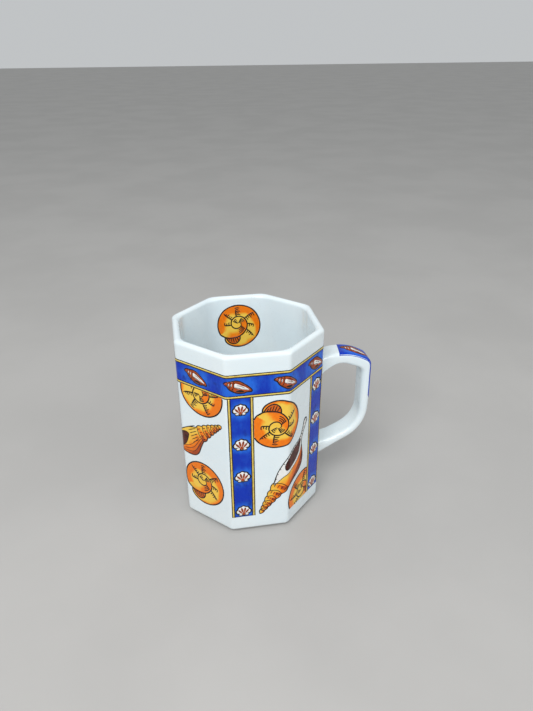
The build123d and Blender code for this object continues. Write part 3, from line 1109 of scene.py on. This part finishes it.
def glaze_finish():
    """White glaze: glossy, a little cooler where it lies thick, with faint waves and pinholes."""
    colours = bpy.context.scene.mug_colours
    material, t, inputs = finish_nodes("White glaze")
    white = tuple(colours.glaze)
    cool = tuple(c * k for c, k in zip(white, (0.955, 0.975, 0.99)))
    cloud = object_noise(t, 38.0, 3.0)
    tinted = blended(t, ranged(t, cloud, 0.35, 0.68), white, cool)
    speck = ranged(t, object_noise(t, 2300.0, 0.0), 0.80, 0.84)
    t.link(blended(t, t.math("MULTIPLY", speck, 0.35), tinted, (0.42, 0.38, 0.33)), inputs["Base Color"])
    t.link(ranged(t, object_noise(t, 160.0, 4.0), 0.3, 0.7, 0.22, 0.34), inputs["Roughness"])
    glassy(inputs, 0.05, 0.9)
    inputs["Subsurface Weight"].default_value = 0.08
    inputs["Subsurface Radius"].default_value = (0.0012, 0.0010, 0.0009)
    relief(
        t, inputs, (object_noise(t, 70.0, 1.0), 0.09, 0.0014), (object_noise(t, 900.0, 1.0), 0.10, 0.00012),
        (speck, 0.3, 0.00005),
    )
    return material


def clay_finish():
    """Bare fired clay: matt, warm and grainy, rubbed a little darker where it stands."""
    colours = bpy.context.scene.mug_colours
    material, t, inputs = finish_nodes("Bare clay")
    clay = tuple(colours.clay)
    dark = tuple(c * 0.72 for c in clay)
    grain = object_noise(t, 1500.0, 4.0, 0.65)
    rubbed = object_noise(t, 120.0, 3.0)
    first = blended(t, ranged(t, grain, 0.35, 0.72), clay, dark)
    worn = ranged(t, rubbed, 0.5, 0.75, 0.0, 0.5)
    t.link(blended(t, worn, first, (0.47, 0.43, 0.37)), inputs["Base Color"])
    t.link(ranged(t, rubbed, 0.3, 0.7, 0.78, 0.95), inputs["Roughness"])
    relief(t, inputs, (grain, 0.55, 0.00025), (object_noise(t, 420.0, 2.0), 0.3, 0.0003))
    return material


def cobalt_finish():
    """Cobalt wash: deep blue, paler and streaky where the brush left less."""
    colours = bpy.context.scene.mug_colours
    material, t, inputs = finish_nodes("Cobalt wash")
    deep = tuple(colours.cobalt)
    pale = tuple(colours.cobalt_wash)
    halo = t.add("ShaderNodeAttribute", {"attribute_name": "tone"}).outputs["Fac"]
    cloud = object_noise(t, 95.0, 5.0, 0.6)
    streak = object_noise(t, 420.0, 3.0, 0.6, (1.0, 1.0, 0.35))
    thin = t.math("ADD", t.math("MULTIPLY", halo, 0.42), t.math("SUBTRACT", cloud, 0.42))
    thin = t.math("ADD", thin, t.math("MULTIPLY", t.math("SUBTRACT", streak, 0.5), 0.5))
    washed = blended(t, ranged(t, thin, 0.02, 0.72), deep, pale)
    night = tuple(c * k for c, k in zip(deep, (0.6, 0.5, 0.55)))
    pooled = ranged(t, object_noise(t, 190.0, 4.0), 0.56, 0.72, 0.0, 0.75)
    t.link(blended(t, pooled, washed, night), inputs["Base Color"])
    t.link(ranged(t, streak, 0.3, 0.7, 0.2, 0.36), inputs["Roughness"])
    glassy(inputs, 0.06)
    relief(t, inputs, (object_noise(t, 650.0, 2.0), 0.12, 0.0001))
    return material


def gold_finish():
    """Yellow gold lustre, worn thin in places."""
    colours = bpy.context.scene.mug_colours
    material, t, inputs = finish_nodes("Gold line")
    gold = tuple(colours.gold)
    worn = tuple(c * k for c, k in zip(gold, (0.78, 0.70, 0.6)))
    cloud = object_noise(t, 520.0, 4.0, 0.6)
    t.link(blended(t, ranged(t, cloud, 0.42, 0.7), gold, worn), inputs["Base Color"])
    t.link(ranged(t, cloud, 0.3, 0.7, 0.22, 0.42), inputs["Roughness"])
    inputs["Metallic"].default_value = 0.15
    glassy(inputs, 0.1)
    relief(t, inputs, (object_noise(t, 1400.0, 2.0), 0.15, 0.00005))
    return material


def plain_enamel(name, colour, variation=0.8, scale=600.0):
    """One enamel colour, a little uneven in strength."""
    material, t, inputs = finish_nodes(name)
    colour = tuple(colour)
    weak = tuple(c * variation for c in colour)
    cloud = object_noise(t, scale, 4.0, 0.6)
    t.link(blended(t, ranged(t, cloud, 0.38, 0.68), colour, weak), inputs["Base Color"])
    t.link(ranged(t, cloud, 0.3, 0.7, 0.24, 0.38), inputs["Roughness"])
    glassy(inputs, 0.08)
    relief(t, inputs, (object_noise(t, 1100.0, 2.0), 0.1, 0.00005))
    return material


def shell_finish():
    """Shell enamel: from pale yellow through orange to rust, as the drawing's tone says."""
    colours = bpy.context.scene.mug_colours
    material, t, inputs = finish_nodes("Shell wash")
    tone = t.add("ShaderNodeAttribute", {"attribute_name": "tone"}).outputs["Fac"]
    brush = object_noise(t, 520.0, 4.0, 0.6)
    shifted = t.math("ADD", tone, t.math("MULTIPLY", t.math("SUBTRACT", brush, 0.5), 0.22))
    ramp = t.add("ShaderNodeValToRGB")
    t.link(shifted, ramp.inputs[0])
    yellow, orange, rust = (tuple(c) for c in (colours.yellow, colours.orange, colours.rust))
    pale = tuple(min(1.0, c * k) for c, k in zip(yellow, (1.02, 1.10, 1.7)))
    amber = tuple((a + b) / 2 for a, b in zip(yellow, orange))
    stops = ((0.0, pale), (0.2, yellow), (0.4, amber), (0.58, orange), (1.0, rust))
    elements = ramp.color_ramp.elements
    while len(elements) < len(stops):
        elements.new(0.5)
    for element, (place, colour) in zip(elements, stops):
        element.position = place
        element.color = (*colour, 1.0)
    t.link(ramp.outputs[0], inputs["Base Color"])
    t.link(ranged(t, brush, 0.3, 0.7, 0.22, 0.36), inputs["Roughness"])
    glassy(inputs, 0.06)
    relief(t, inputs, (object_noise(t, 700.0, 2.0), 0.12, 0.0001))
    return material


def floor_finish():
    """A plain pale floor with the faintest unevenness."""
    material, t, inputs = finish_nodes("Floor")
    floor = tuple(bpy.context.scene.mug_studio.floor)
    shade = tuple(c * 0.94 for c in floor)
    t.link(blended(t, ranged(t, object_noise(t, 9.0, 5.0), 0.35, 0.65), floor, shade), inputs["Base Color"])
    inputs["Roughness"].default_value = 0.8
    return material


FINISHES = {}


def finish_of(name):
    """A finish, made the first time that a piece asks for it."""
    colours = bpy.context.scene.mug_colours
    makers = {
        "glaze": glaze_finish,
        "clay": clay_finish,
        "cobalt": cobalt_finish,
        "gold": gold_finish,
        "shell": shell_finish,
        "ink": lambda: plain_enamel("Black line", colours.ink, 0.6),
        "white": lambda: plain_enamel("White enamel", colours.white, 0.93),
        "rust": lambda: plain_enamel("Rust enamel", colours.rust, 0.62, 420.0),
        "brown": lambda: plain_enamel("Brown enamel", colours.brown, 0.35, 380.0),
    }
    if name not in FINISHES:
        FINISHES[name] = makers[name]()
    return FINISHES[name]


# ---------------------------------------------------------------- the vessel's and handle's forms
def rounded_corners(corners, radii, step):
    """A line through corners with an arc at each inner one, as a list of points."""
    drawn = [Vector(corners[0])]
    for before, corner, after, radius in zip(corners, corners[1:], corners[2:], radii):
        corner = Vector(corner)
        back = (Vector(before) - corner).normalized()
        ahead = (Vector(after) - corner).normalized()
        half_angle = back.angle(ahead) / 2
        reach = radius / tan(half_angle)
        start = corner + back * reach
        end = corner + ahead * reach
        middle = corner + (back + ahead).normalized() * (radius / sin(half_angle))
        sweep = pi - 2 * half_angle
        count = max(3, int(sweep * radius / step))
        first = start - middle
        last = end - middle
        for k in range(count + 1):
            part = k / count
            weight_a = sin((1 - part) * sweep) / sin(sweep)
            weight_b = sin(part * sweep) / sin(sweep)
            drawn.append(middle + first * weight_a + last * weight_b)
    drawn.append(Vector(corners[-1]))
    return [tuple(p) for p in drawn]


def softened(points, passes):
    """The line with its changes of bend evened out, its ends kept."""
    points = [Vector(p) for p in points]
    for _ in range(passes):
        inner = [(a + 2 * b + c) / 4 for a, b, c in zip(points, points[1:], points[2:])]
        points = [points[0]] + inner + [points[-1]]
    return [tuple(p) for p in points]


def arc_points(middle, radius, start, end, count):
    """Points on an arc, between two angles in degrees."""
    drawn = []
    for k in range(count + 1):
        angle = radians(start + (end - start) * k / count)
        drawn.append((middle[0] + radius * cos(angle), middle[1] + radius * sin(angle)))
    return drawn


def wall_at(height):
    """Distance from the axis to the middle of a face, in millimetres."""
    return FLATS_AT_BASE + LEAN * (height - UNDERSIDE)


def vessel_profile():
    """The vessel's section from the middle of its underside to the middle of its floor.

    Each point is (distance from the axis, height, corner round), in millimetres.
    """
    sizes = bpy.context.scene.mug_sizes
    base = sizes.base_round / MM
    wall = sizes.wall / MM
    floor = sizes.floor_top / MM
    turn = sizes.floor_round / MM
    outer_round = sizes.corner_round / MM
    inner_round = sizes.cavity_round / MM
    row = 4.55  # height between the rows of points outside
    inner_row = 4.1
    lip = wall / 2
    outside = [(r, UNDERSIDE) for r in (0.0, 8.0, 16.0, 24.0, 30.0)]
    outside += arc_points((wall_at(UNDERSIDE + base) - base, UNDERSIDE + base), base, -90, 0, 10)
    outside += [(wall_at(z), z) for z in [UNDERSIDE + base + 3 + k * row for k in range(21)]]
    points = [(r, z, outer_round) for r, z in outside]
    shoulder = RIM - lip * 1.06
    crest = wall_at(RIM) - lip
    for k in range(25):
        angle = radians(180 * k / 24)
        height = shoulder + (RIM - shoulder) * sin(angle)
        blend = soft_step(0.0, 1.0, k / 24)
        points.append((crest + lip * cos(angle), height, outer_round + (inner_round - outer_round) * blend))
    start = floor + turn
    heights = [shoulder - 2 - k * inner_row for k in range(20)]
    points += [(wall_at(z) - wall, z, inner_round) for z in heights if z > start + 2]
    turning = arc_points((wall_at(start) - wall - turn, start), turn, 0, -90, 16)
    points += [(r, z, inner_round) for r, z in turning]
    points += [(r, floor, inner_round) for r in (16.0, 10.0, 5.0, 0.0)]
    return points


def strap_sections():
    """Matched points of the handle's outer and inner edges, from the upper to the lower end."""
    step = 0.6
    edges = []
    for corners, radii in ((OUTER_SIDE, OUTER_ROUNDS), (INNER_SIDE, INNER_ROUNDS)):
        line = even_steps(rounded_corners(corners, radii, step), step)
        edges.append(even_steps(softened(line, 6), step / 2))
    return edges


def past_wall(points, sunk):
    """The part of a handle edge that is outside the wall, started where it meets it."""
    kept = []
    for before, point in zip(points, points[1:]):
        depth_before = before[0] - wall_at(before[1]) + sunk
        depth = point[0] - wall_at(point[1]) + sunk
        if depth_before < 0 <= depth or depth < 0 <= depth_before:
            part = depth_before / (depth_before - depth)
            kept.append(tuple(p + (q - p) * part for p, q in zip(before, point)))
        if depth > 0:
            kept.append(point)
    return kept


def resampled(points, count):
    """The line with a set number of points at even distances."""
    drawn = even_steps(points, lengths_along(points)[-1] / (count - 0.5))
    return drawn[:count - 1] + [points[-1]]


def strap_ring(low, high, half_width, edge_round, steps=7):
    """One cross-section of the strap: a rounded rectangle between its inner and outer edge."""
    across = Vector((high[0] - low[0], high[1] - low[1]))
    thick = across.length
    across.normalize()
    corner = min(edge_round, thick / 2 * 0.92)
    ring = []
    for side, edge in ((1, 1), (-1, 1), (-1, -1), (1, -1)):
        middle_y = side * (half_width - corner)
        middle_t = thick / 2 + edge * (thick / 2 - corner)
        first = {(1, 1): 0, (-1, 1): 90, (-1, -1): 180, (1, -1): 270}[(side, edge)]
        for k in range(steps + 1):
            angle = radians(first + 90 * k / steps)
            y = middle_y + corner * cos(angle)
            t = middle_t + corner * sin(angle)
            ring.append(Vector((low[0] + across.x * t, y, low[1] + across.y * t)))
        if side > 0 and edge > 0 or side < 0 and edge < 0:
            for k in range(1, 8):
                y = (half_width - corner) * (1 - 2 * k / 8) * side
                t = middle_t + edge * corner
                ring.append(Vector((low[0] + across.x * t, y, low[1] + across.y * t)))
    return ring


def point_outwards(piece):
    """Turns all faces of a closed piece outwards."""
    shape = bmesh.new()
    shape.from_mesh(piece.data)
    bmesh.ops.recalc_face_normals(shape, faces=shape.faces)
    shape.to_mesh(piece.data)
    shape.free()


def eight_sided(name, profile, points_per_side, finish, *nodes):
    """A closed eight-sided piece from (distance, height, corner round) points, in millimetres."""
    edges = [(k, k + 1) for k in range(len(profile) - 1)]
    piece = new_piece(name, [Vector((r, 0.0, z)) * MM for r, z, _ in profile], [], edges)
    rounding = piece.data.attributes.new("corner_round", "FLOAT", "POINT")
    rounding.data.foreach_set("value", [r * MM for _, _, r in profile])
    values = {
        "Points Round": SIDES * points_per_side + 1,
        "Points Up": len(profile),
        "Glaze": finish_of(finish),
    }
    grown(piece, shared_tree("vessel", vessel_tree), values)
    point_outwards(piece)
    settle(piece, finish, *nodes)


def ring_faces(rings, around, closed):
    """Quads between rings of points, each ring closed. Closed also joins the last ring to the first."""
    faces = []
    for i in range(rings if closed else rings - 1):
        ahead = (i + 1) % rings * around
        for k in range(around):
            beside = (k + 1) % around
            faces.append((i * around + k, i * around + beside, ahead + beside, ahead + k))
    return faces


def glazed(name, points, faces, *nodes):
    """A smooth closed piece of glazed clay, from points in millimetres."""
    piece = new_piece(name, [p * MM for p in points], faces)
    piece.data.polygons.foreach_set("use_smooth", [True] * len(faces))
    piece.data.materials.append(finish_of("glaze"))
    point_outwards(piece)
    settle(piece, "glaze", *nodes)


# ---------------------------------------------------------------- operators
class MUG_OT_vessel(bpy.types.Operator):
    """Builds the glazed eight-sided vessel from its profile"""

    bl_idname = "mug.vessel"
    bl_label = "Glazed Vessel"

    def execute(self, context):
        eight_sided("glazed_vessel", vessel_profile(), 40, "glaze", "glaze_coat", "base_glaze")
        return {"FINISHED"}


class MUG_OT_foot(bpy.types.Operator):
    """Builds the bare clay foot ring under the vessel"""

    bl_idname = "mug.foot"
    bl_label = "Foot Ring"

    def execute(self, context):
        width = context.scene.mug_sizes.foot_width / MM
        middle = RECESS_HIGH.x / MM + width / 2
        top = UNDERSIDE + 0.3
        edge = 0.5
        section = arc_points((middle + width / 2 - edge, edge), edge, -90, 0, 5)
        section += [(middle + width / 2, top), (middle - width / 2, top)]
        section += arc_points((middle - width / 2 + edge, edge), edge, 180, 270, 5)
        section.append(section[0])
        eight_sided("foot_ring", [(r, z, FOOT_CORNER_ROUND) for r, z in section], 24, "clay", "body")
        return {"FINISHED"}


class MUG_OT_handle(bpy.types.Operator):
    """Builds the strap handle and the beads of slip where it meets the wall"""

    bl_idname = "mug.handle"
    bl_label = "Handle"

    def execute(self, context):
        sizes = context.scene.mug_sizes
        half_width = sizes.strap_width / MM / 2
        edge_round = sizes.strap_round / MM
        outer, inner = (resampled(past_wall(edge, STRAP_SUNK), STRAP_RINGS) for edge in strap_sections())
        rings = [strap_ring(low, high, half_width, edge_round) for low, high in zip(inner, outer)]
        around = len(rings[0])
        faces = ring_faces(STRAP_RINGS, around, False)
        faces.append(tuple(range(around)))
        faces.append(tuple(range((STRAP_RINGS - 1) * around, STRAP_RINGS * around)))
        glazed("handle_strap", [p for ring in rings for p in ring], faces, "handle_glaze", "handle")
        bead = sizes.joint_bead / MM
        self.bead("upper_joint_bead", rings[0], rings[8], bead, "upper_slip_joint")
        self.bead("lower_joint_bead", rings[-1], rings[-9], bead, "lower_slip_joint")
        return {"FINISHED"}

    def bead(self, name, root, ahead, size, node):
        """A hollow-sided fillet of slip round one end of the strap, on the wall."""
        steps = 6
        middle = sum(root, Vector()) / len(root)
        under_wall = Vector((0.35, 0, 0))
        loops = [[] for _ in range(steps + 4)]
        for place, further in zip(root, ahead):
            lift = wall_at(place.z) - place.x
            run = (further - place).normalized()
            if run.x < 0.2:
                run = Vector((1.0, 0.0, 0.0))
            foot = place + run * (lift / run.x)
            out = Vector((0.0, foot.y - middle.y, foot.z - middle.z)).normalized()
            loops[0].append(foot - under_wall - out * 0.4)
            loops[1].append(foot - under_wall + out * size)
            for k in range(steps + 1):
                angle = radians(90 * k / steps)
                spread_out = size * (1 - sin(angle))
                climb = size * (1 - cos(angle))
                loops[2 + k].append(foot + out * spread_out + run * climb - out * 0.03 * k / steps)
        for place in loops[-2]:
            inward = Vector((0.0, middle.y - place.y, middle.z - place.z)).normalized()
            loops[-1].append(place + inward * 0.45)
        glazed(name, [p for loop in loops for p in loop], ring_faces(len(loops), len(root), True), node)


def wrapped(pen, name, colour, slot, *nodes, wall="outer"):
    """Wraps one colour's drawing onto the wall and finishes the piece."""
    sizes = bpy.context.scene.mug_sizes
    piece = pen.piece(name)
    values = wall_values(wall, sizes)
    values["Enamel"] = finish_of(colour)
    grown(piece, shared_tree("wrap", wrap_tree, False), values)
    return settle(piece, slot, *nodes)


def wall_values(wall, sizes):
    """The wrap tree's inputs for the outer or the inner wall."""
    foot = FLATS_AT_BASE - LEAN * UNDERSIDE
    if wall == "outer":
        apothem, corner, first_face, side = foot, sizes.corner_round / MM, -2.0, 1.0
        width = FACE
    else:
        apothem, corner, first_face, side = foot - sizes.wall / MM, sizes.cavity_round / MM, 2.0, -1.0
        width = 2 * HALF * (apothem + LEAN * INNER_MOON[1])
    return {
        "Face Width": width * MM,
        "First Face": first_face,
        "Apothem": apothem * MM,
        "Lean": LEAN,
        "Corner Round": corner * MM,
        "Side": side,
    }


def new_pens(*colours, raised=0.0):
    """One pen for each colour, at its height above the glaze."""
    sizes = bpy.context.scene.mug_print
    pens = {}
    for colour in colours:
        lift = sizes.line_lift if colour in ("ink", "gold") else sizes.fill_lift + raised * MM
        pens[colour] = Enamel(lift, sizes.depth)
    return pens


SCALLOP_HEIGHTS = (73.7, 54.3, 35.4, 13.9)
BAND_SHELL_SPACING = 22.6
BAND_SHELL_FIRST = 36.1


def band_shell_places():
    """Where the small whelks lie on the rim band."""
    count = int((WRAP_LENGTH - 8) / BAND_SHELL_SPACING) + 1
    places = []
    for k in range(count):
        along = BAND_SHELL_FIRST - k * BAND_SHELL_SPACING
        if along > WRAP_START + 8:
            places.append((along, BAND_MIDDLE - 0.1))
    return places


def halo(places, reach):
    """The wash thins out round the motifs: 1 at a motif, 0 away from it."""
    def tone(x, y):
        nearest = min(hypot((x - px) * 0.8, y - py) for px, py in places)
        return 1.0 - soft_step(reach * 0.35, reach, nearest)
    return tone


def upright_box(left, right, bottom, top):
    return [(left, bottom), (right, bottom), (right, top), (left, top)]


def border(pens, lines, vertical, reach):
    """Black, gold, black: one border line, drawn once for each (middle, side) in lines."""
    sizes = bpy.context.scene.mug_print
    gold = sizes.gold_line / MM
    black = sizes.black_line / MM
    start, end = reach
    for middle in lines:
        for offset, width, pen in ((0.0, gold, "gold"), (-0.5, black, "ink"), (0.5, black, "ink")):
            place = middle + offset * (gold + black) * 0.98
            ends = [(place, start), (place, end)] if vertical else [(start, place), (end, place)]
            pens[pen].line(ends, width, step=1.0 if vertical else 0.4)


class MUG_OT_band(bpy.types.Operator):
    """Builds the blue rim band, its gold and black borders and its small shells"""

    bl_idname = "mug.band"
    bl_label = "Rim Band"

    def execute(self, context):
        sizes = context.scene.mug_print
        pens = new_pens("cobalt", "gold", "ink")
        left = WRAP_START + FIRST_STRIP
        right = WRAP_START + WRAP_LENGTH - FIRST_STRIP
        edge = sizes.gold_line / MM / 2 + sizes.black_line / MM
        inset = edge * 0.9
        outline = upright_box(left, right, BAND_BOTTOM + inset, BAND_TOP - inset)
        pens["cobalt"].area(outline, halo(band_shell_places(), 9.5), 0.8)
        border(pens, (BAND_BOTTOM + edge, BAND_TOP - edge), False, (left, right))
        wrapped(pens["cobalt"], "rim_band_blue", "cobalt", "cobalt_enamel", "rim_band")
        wrapped(pens["gold"], "rim_band_gold", "gold", "cobalt_enamel")
        wrapped(pens["ink"], "rim_band_lines", "ink", "cobalt_enamel")
        repeat_motif("band_shell", draw_band_shell, band_shell_places(), radians(-9))
        return {"FINISHED"}


class MUG_OT_strips(bpy.types.Operator):
    """Builds the upright strips, their borders and their fan shells"""

    bl_idname = "mug.strips"
    bl_label = "Upright Strips"

    def execute(self, context):
        sizes = context.scene.mug_print
        edge = sizes.gold_line / MM / 2 + sizes.black_line / MM
        lines = new_pens("gold", "ink")
        fans = []
        for number, start in enumerate(STRIP_STARTS, start=1):
            end = start + STRIP_WIDTH
            places = [((start + end) / 2, height) for height in SCALLOP_HEIGHTS]
            fans += places
            pens = new_pens("cobalt")
            inset = edge * 0.9
            outline = upright_box(start + inset, end - inset, STRIP_BOTTOM, BAND_BOTTOM)
            pens["cobalt"].area(outline, halo(places, 7.5), 0.7)
            wrapped(pens["cobalt"], f"strip_{number}_blue", "cobalt", "cobalt_enamel", f"strip_{number}")
            border(lines, (start + edge, end - edge), True, (STRIP_BOTTOM, BAND_BOTTOM + 0.1))
        wrapped(lines["gold"], "strip_gold", "gold", "cobalt_enamel")
        wrapped(lines["ink"], "strip_lines", "ink", "cobalt_enamel")
        repeat_motif("fan_shell", draw_scallop, fans, 0.0)
        return {"FINISHED"}


def repeat_motif(name, draw, places, tilt):
    """Draws a motif once and lays a copy at each place, one piece for each colour."""
    sizes = bpy.context.scene.mug_sizes
    pens = new_pens("white", "rust", "ink", raised=RAISED)
    draw(pens)
    for colour, pen in pens.items():
        motif = pen.piece(f"{name}_{colour}_drawing")
        dots = new_piece(f"{name}_{colour}", [Vector((x, y, 0.0)) * MM for x, y in places], [])
        turned = dots.data.attributes.new("tilt", "FLOAT", "POINT")
        turned.data.foreach_set("value", [
            tilt + 0.10 * noise.noise(Vector((x * 0.31, y * 0.17, 4.0))) for x, y in places
        ])
        scaled = dots.data.attributes.new("scale", "FLOAT", "POINT")
        scaled.data.foreach_set("value", [
            1.0 + 0.07 * noise.noise(Vector((x * 0.23, y * 0.29, 8.0))) for x, y in places
        ])
        values = wall_values("outer", sizes)
        values["Enamel"] = finish_of(colour)
        values["Motif"] = motif
        grown(dots, shared_tree("repeat", wrap_tree, True), values)
        bpy.data.objects.remove(motif)
        settle(dots, "orange_enamel")


# The shells of a panel, placed from the panel's middle.
EVEN_PANEL = {
    "upper_moon": Moon((-5.9, 62.0), 12.4, 105, 1, 55),
    "lower_moon": Moon((12.3, 15.4), 12.6, -70, -1, -60),
    "spindle": Spindle((-14.6, 10.9), (14.5, 59.2)),
}
ODD_PANEL = {
    "upper_moon": Moon((3.1, 77.0), 12.0, 80, 1, 205),
    "lower_moon": Moon((1.7, 25.6), 12.1, -114, -1, -85),
    "spindle": Spindle((14.8, 63.8), (-24.8, 37.5), 1.15, -1),
}
INNER_MOON = (0.0, 85.4)


class MUG_OT_panels(bpy.types.Operator):
    """Builds the large shells of the four panels"""

    bl_idname = "mug.panels"
    bl_label = "Large Shells"

    def execute(self, context):
        for number, (left, right) in enumerate(PANELS, start=1):
            odd = number % 2 == 1
            middle = (left + right) / 2
            window = (left + 0.05 - middle, right - 0.05 - middle, STRIP_BOTTOM, BAND_BOTTOM - 0.02)
            shared = new_pens("ink", "white", "rust", "brown")
            for name, shell in (ODD_PANEL if odd else EVEN_PANEL).items():
                pens = dict(shared)
                pens.update(new_pens("shell"))
                if name == "spindle":
                    shell.draw(pens, window, lip=not odd)
                else:
                    shell.draw(pens, window)
                shifted(pens["shell"], middle)
                node = f"panel_{number}_{name}"
                wrapped(pens["shell"], f"{node}_colour", "shell", "orange_enamel", node)
            for colour, pen in shared.items():
                if pen.faces:
                    shifted(pen, middle)
                    wrapped(pen, f"panel_{number}_{colour}", colour, "orange_enamel")
        return {"FINISHED"}


def shifted(pen, along):
    """Moves a pen's drawing along the wall."""
    pen.points = [(x + along, y, z) for x, y, z in pen.points]


class MUG_OT_inner_shell(bpy.types.Operator):
    """Builds the shell printed inside, on the wall facing the drinker"""

    bl_idname = "mug.inner_shell"
    bl_label = "Inner Shell"

    def execute(self, context):
        pens = new_pens("shell", "ink")
        Moon(INNER_MOON, 11.6, -110, -1, -80).draw(pens)
        wrapped(pens["shell"], "inner_moon_colour", "shell", "orange_enamel", "inner_moon", wall="inner")
        wrapped(pens["ink"], "inner_moon_lines", "ink", "orange_enamel", wall="inner")
        return {"FINISHED"}


class MUG_OT_handle_band(bpy.types.Operator):
    """Builds the blue band over the top of the handle and its shell"""

    bl_idname = "mug.handle_band"
    bl_label = "Handle Band"

    def execute(self, context):
        outer, _ = strap_sections()
        edges = [(k, k + 1) for k in range(len(outer) - 1)]
        path = new_piece("strap_path", [Vector((x, 0.0, z)) * MM for x, z in outer], [], edges)
        lengths = lengths_along(outer)
        band_low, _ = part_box("handle_band")
        crest = max(range(len(outer)), key=lambda k: outer[k][0] + outer[k][1])
        start = next(d for d, p in zip(lengths, outer) if p[0] * MM >= band_low.x)
        end = next(d for d, p in list(zip(lengths, outer))[crest + 1:] if p[1] * MM <= band_low.z)
        pens = new_pens("cobalt", "ink", "white", "rust")
        sizes = context.scene.mug_sizes
        half = sizes.strap_width / MM / 2 + STRAP_BAND_WRAP
        flat = sizes.strap_width / MM / 2 - sizes.strap_round / MM
        tip = flat - STRAP_BAND_NARROWED
        outline = [
            (start + STRAP_BAND_START[0], -half), (end - STRAP_BAND_TAPER, -half), (end, -tip), (end, tip),
            (end - STRAP_BAND_TAPER, half), (start + STRAP_BAND_START[1], half),
        ]
        middle = (start + lengths[crest]) / 2 + STRAP_SHELL_SHIFT
        pens["cobalt"].area(outline, halo([(middle, 0.0)], 9.0), 0.6)
        motif = new_pens("ink", "white", "rust", raised=RAISED)
        draw_band_shell(motif)
        for colour, pen in motif.items():
            pens[colour].take(pen, middle, STRAP_SHELL_SIZE)
        for colour, pen in pens.items():
            piece = pen.piece(f"handle_band_{colour}")
            values = {
                "Path": path,
                "Strap": bpy.data.objects["handle_strap"],
                "Flat": flat * MM,
                "Edge Round": sizes.strap_round,
                "Enamel": finish_of(colour),
            }
            grown(piece, shared_tree("strap", strap_tree), values)
            if colour == "cobalt":
                settle(piece, "cobalt_enamel", "handle_band")
            else:
                settle(piece, "orange_enamel")
        bpy.data.objects.remove(path)
        return {"FINISHED"}


class MUG_OT_stage(bpy.types.Operator):
    """Sets the floor, the soft lights and the camera"""

    bl_idname = "mug.stage"
    bl_label = "Studio"

    def execute(self, context):
        studio = context.scene.mug_studio
        corners = [(x * FLOOR_REACH, y * FLOOR_REACH, 0) for x, y in ((-1, -1), (1, -1), (1, 1), (-1, 1))]
        floor = new_piece("floor", corners, [(0, 1, 2, 3)])
        floor.data.materials.append(floor_finish())
        soft_light("key_light", studio.key, *KEY_LIGHT)
        soft_light("fill_light", studio.fill, *FILL_LIGHT)
        world = bpy.data.worlds.new("Studio")
        world.use_nodes = True
        sky = world.node_tree.nodes["Background"]
        sky.inputs["Color"].default_value = SKY_COLOUR
        sky.inputs["Strength"].default_value = studio.sky
        context.scene.world = world
        context.scene.view_settings.view_transform = "Standard"
        lens = bpy.data.cameras.new("camera")
        lens.sensor_fit = "VERTICAL"
        lens.sensor_height = SENSOR_HEIGHT
        lens.lens = LENS
        lens.clip_start = 0.01
        camera = bpy.data.objects.new("camera", lens)
        context.scene.collection.objects.link(camera)
        right = Vector(CAMERA_RIGHT)
        up = Vector(CAMERA_UP)
        columns = (right, up, right.cross(up), Vector(CAMERA_PLACE) * MM)
        rows = [[column[k] for column in columns] for k in range(3)]
        camera.matrix_world = Matrix(rows + [[0.0, 0.0, 0.0, 1.0]])
        context.scene.camera = camera
        return {"FINISHED"}


def soft_light(name, power, size, place):
    """A large square area light, aimed at the mug."""
    lamp = bpy.data.lights.new(name, "AREA")
    lamp.energy = power
    lamp.size = size
    light = bpy.data.objects.new(name, lamp)
    light.location = place
    light.rotation_euler = (Vector(LIGHTS_AIM) - Vector(place)).to_track_quat("-Z", "Y").to_euler()
    bpy.context.scene.collection.objects.link(light)


class MUG_PT_panel(bpy.types.Panel):
    """Lists the mug's parts and sizes"""

    bl_label = "Eight-Sided Mug"
    bl_idname = "MUG_PT_panel"
    bl_space_type = "VIEW_3D"
    bl_region_type = "UI"
    bl_category = "Mug"

    def draw(self, context):
        layout = self.layout
        for operator in OPERATORS:
            layout.operator(operator.bl_idname)
        for group in (context.scene.mug_sizes, context.scene.mug_print, context.scene.mug_colours,
                      context.scene.mug_studio):
            box = layout.box()
            for name in group.__annotations__:
                box.prop(group, name)


GROUPS = {
    "mug_sizes": MugSizes,
    "mug_print": MugPrint,
    "mug_colours": MugColours,
    "mug_studio": MugStudio,
}
OPERATORS = (
    MUG_OT_stage, MUG_OT_vessel, MUG_OT_foot, MUG_OT_handle, MUG_OT_band, MUG_OT_strips, MUG_OT_panels,
    MUG_OT_inner_shell, MUG_OT_handle_band,
)


def register():
    for name, group in GROUPS.items():
        bpy.utils.register_class(group)
        setattr(bpy.types.Scene, name, PointerProperty(type=group))
    for operator in OPERATORS:
        bpy.utils.register_class(operator)
    bpy.utils.register_class(MUG_PT_panel)


def unregister():
    bpy.utils.unregister_class(MUG_PT_panel)
    for operator in reversed(OPERATORS):
        bpy.utils.unregister_class(operator)
    for name, group in GROUPS.items():
        delattr(bpy.types.Scene, name)
        bpy.utils.unregister_class(group)


def main():
    register()
    for operator in OPERATORS:
        group, name = operator.bl_idname.split(".")
        getattr(getattr(bpy.ops, group), name)()


if __name__ == "__main__":
    main()
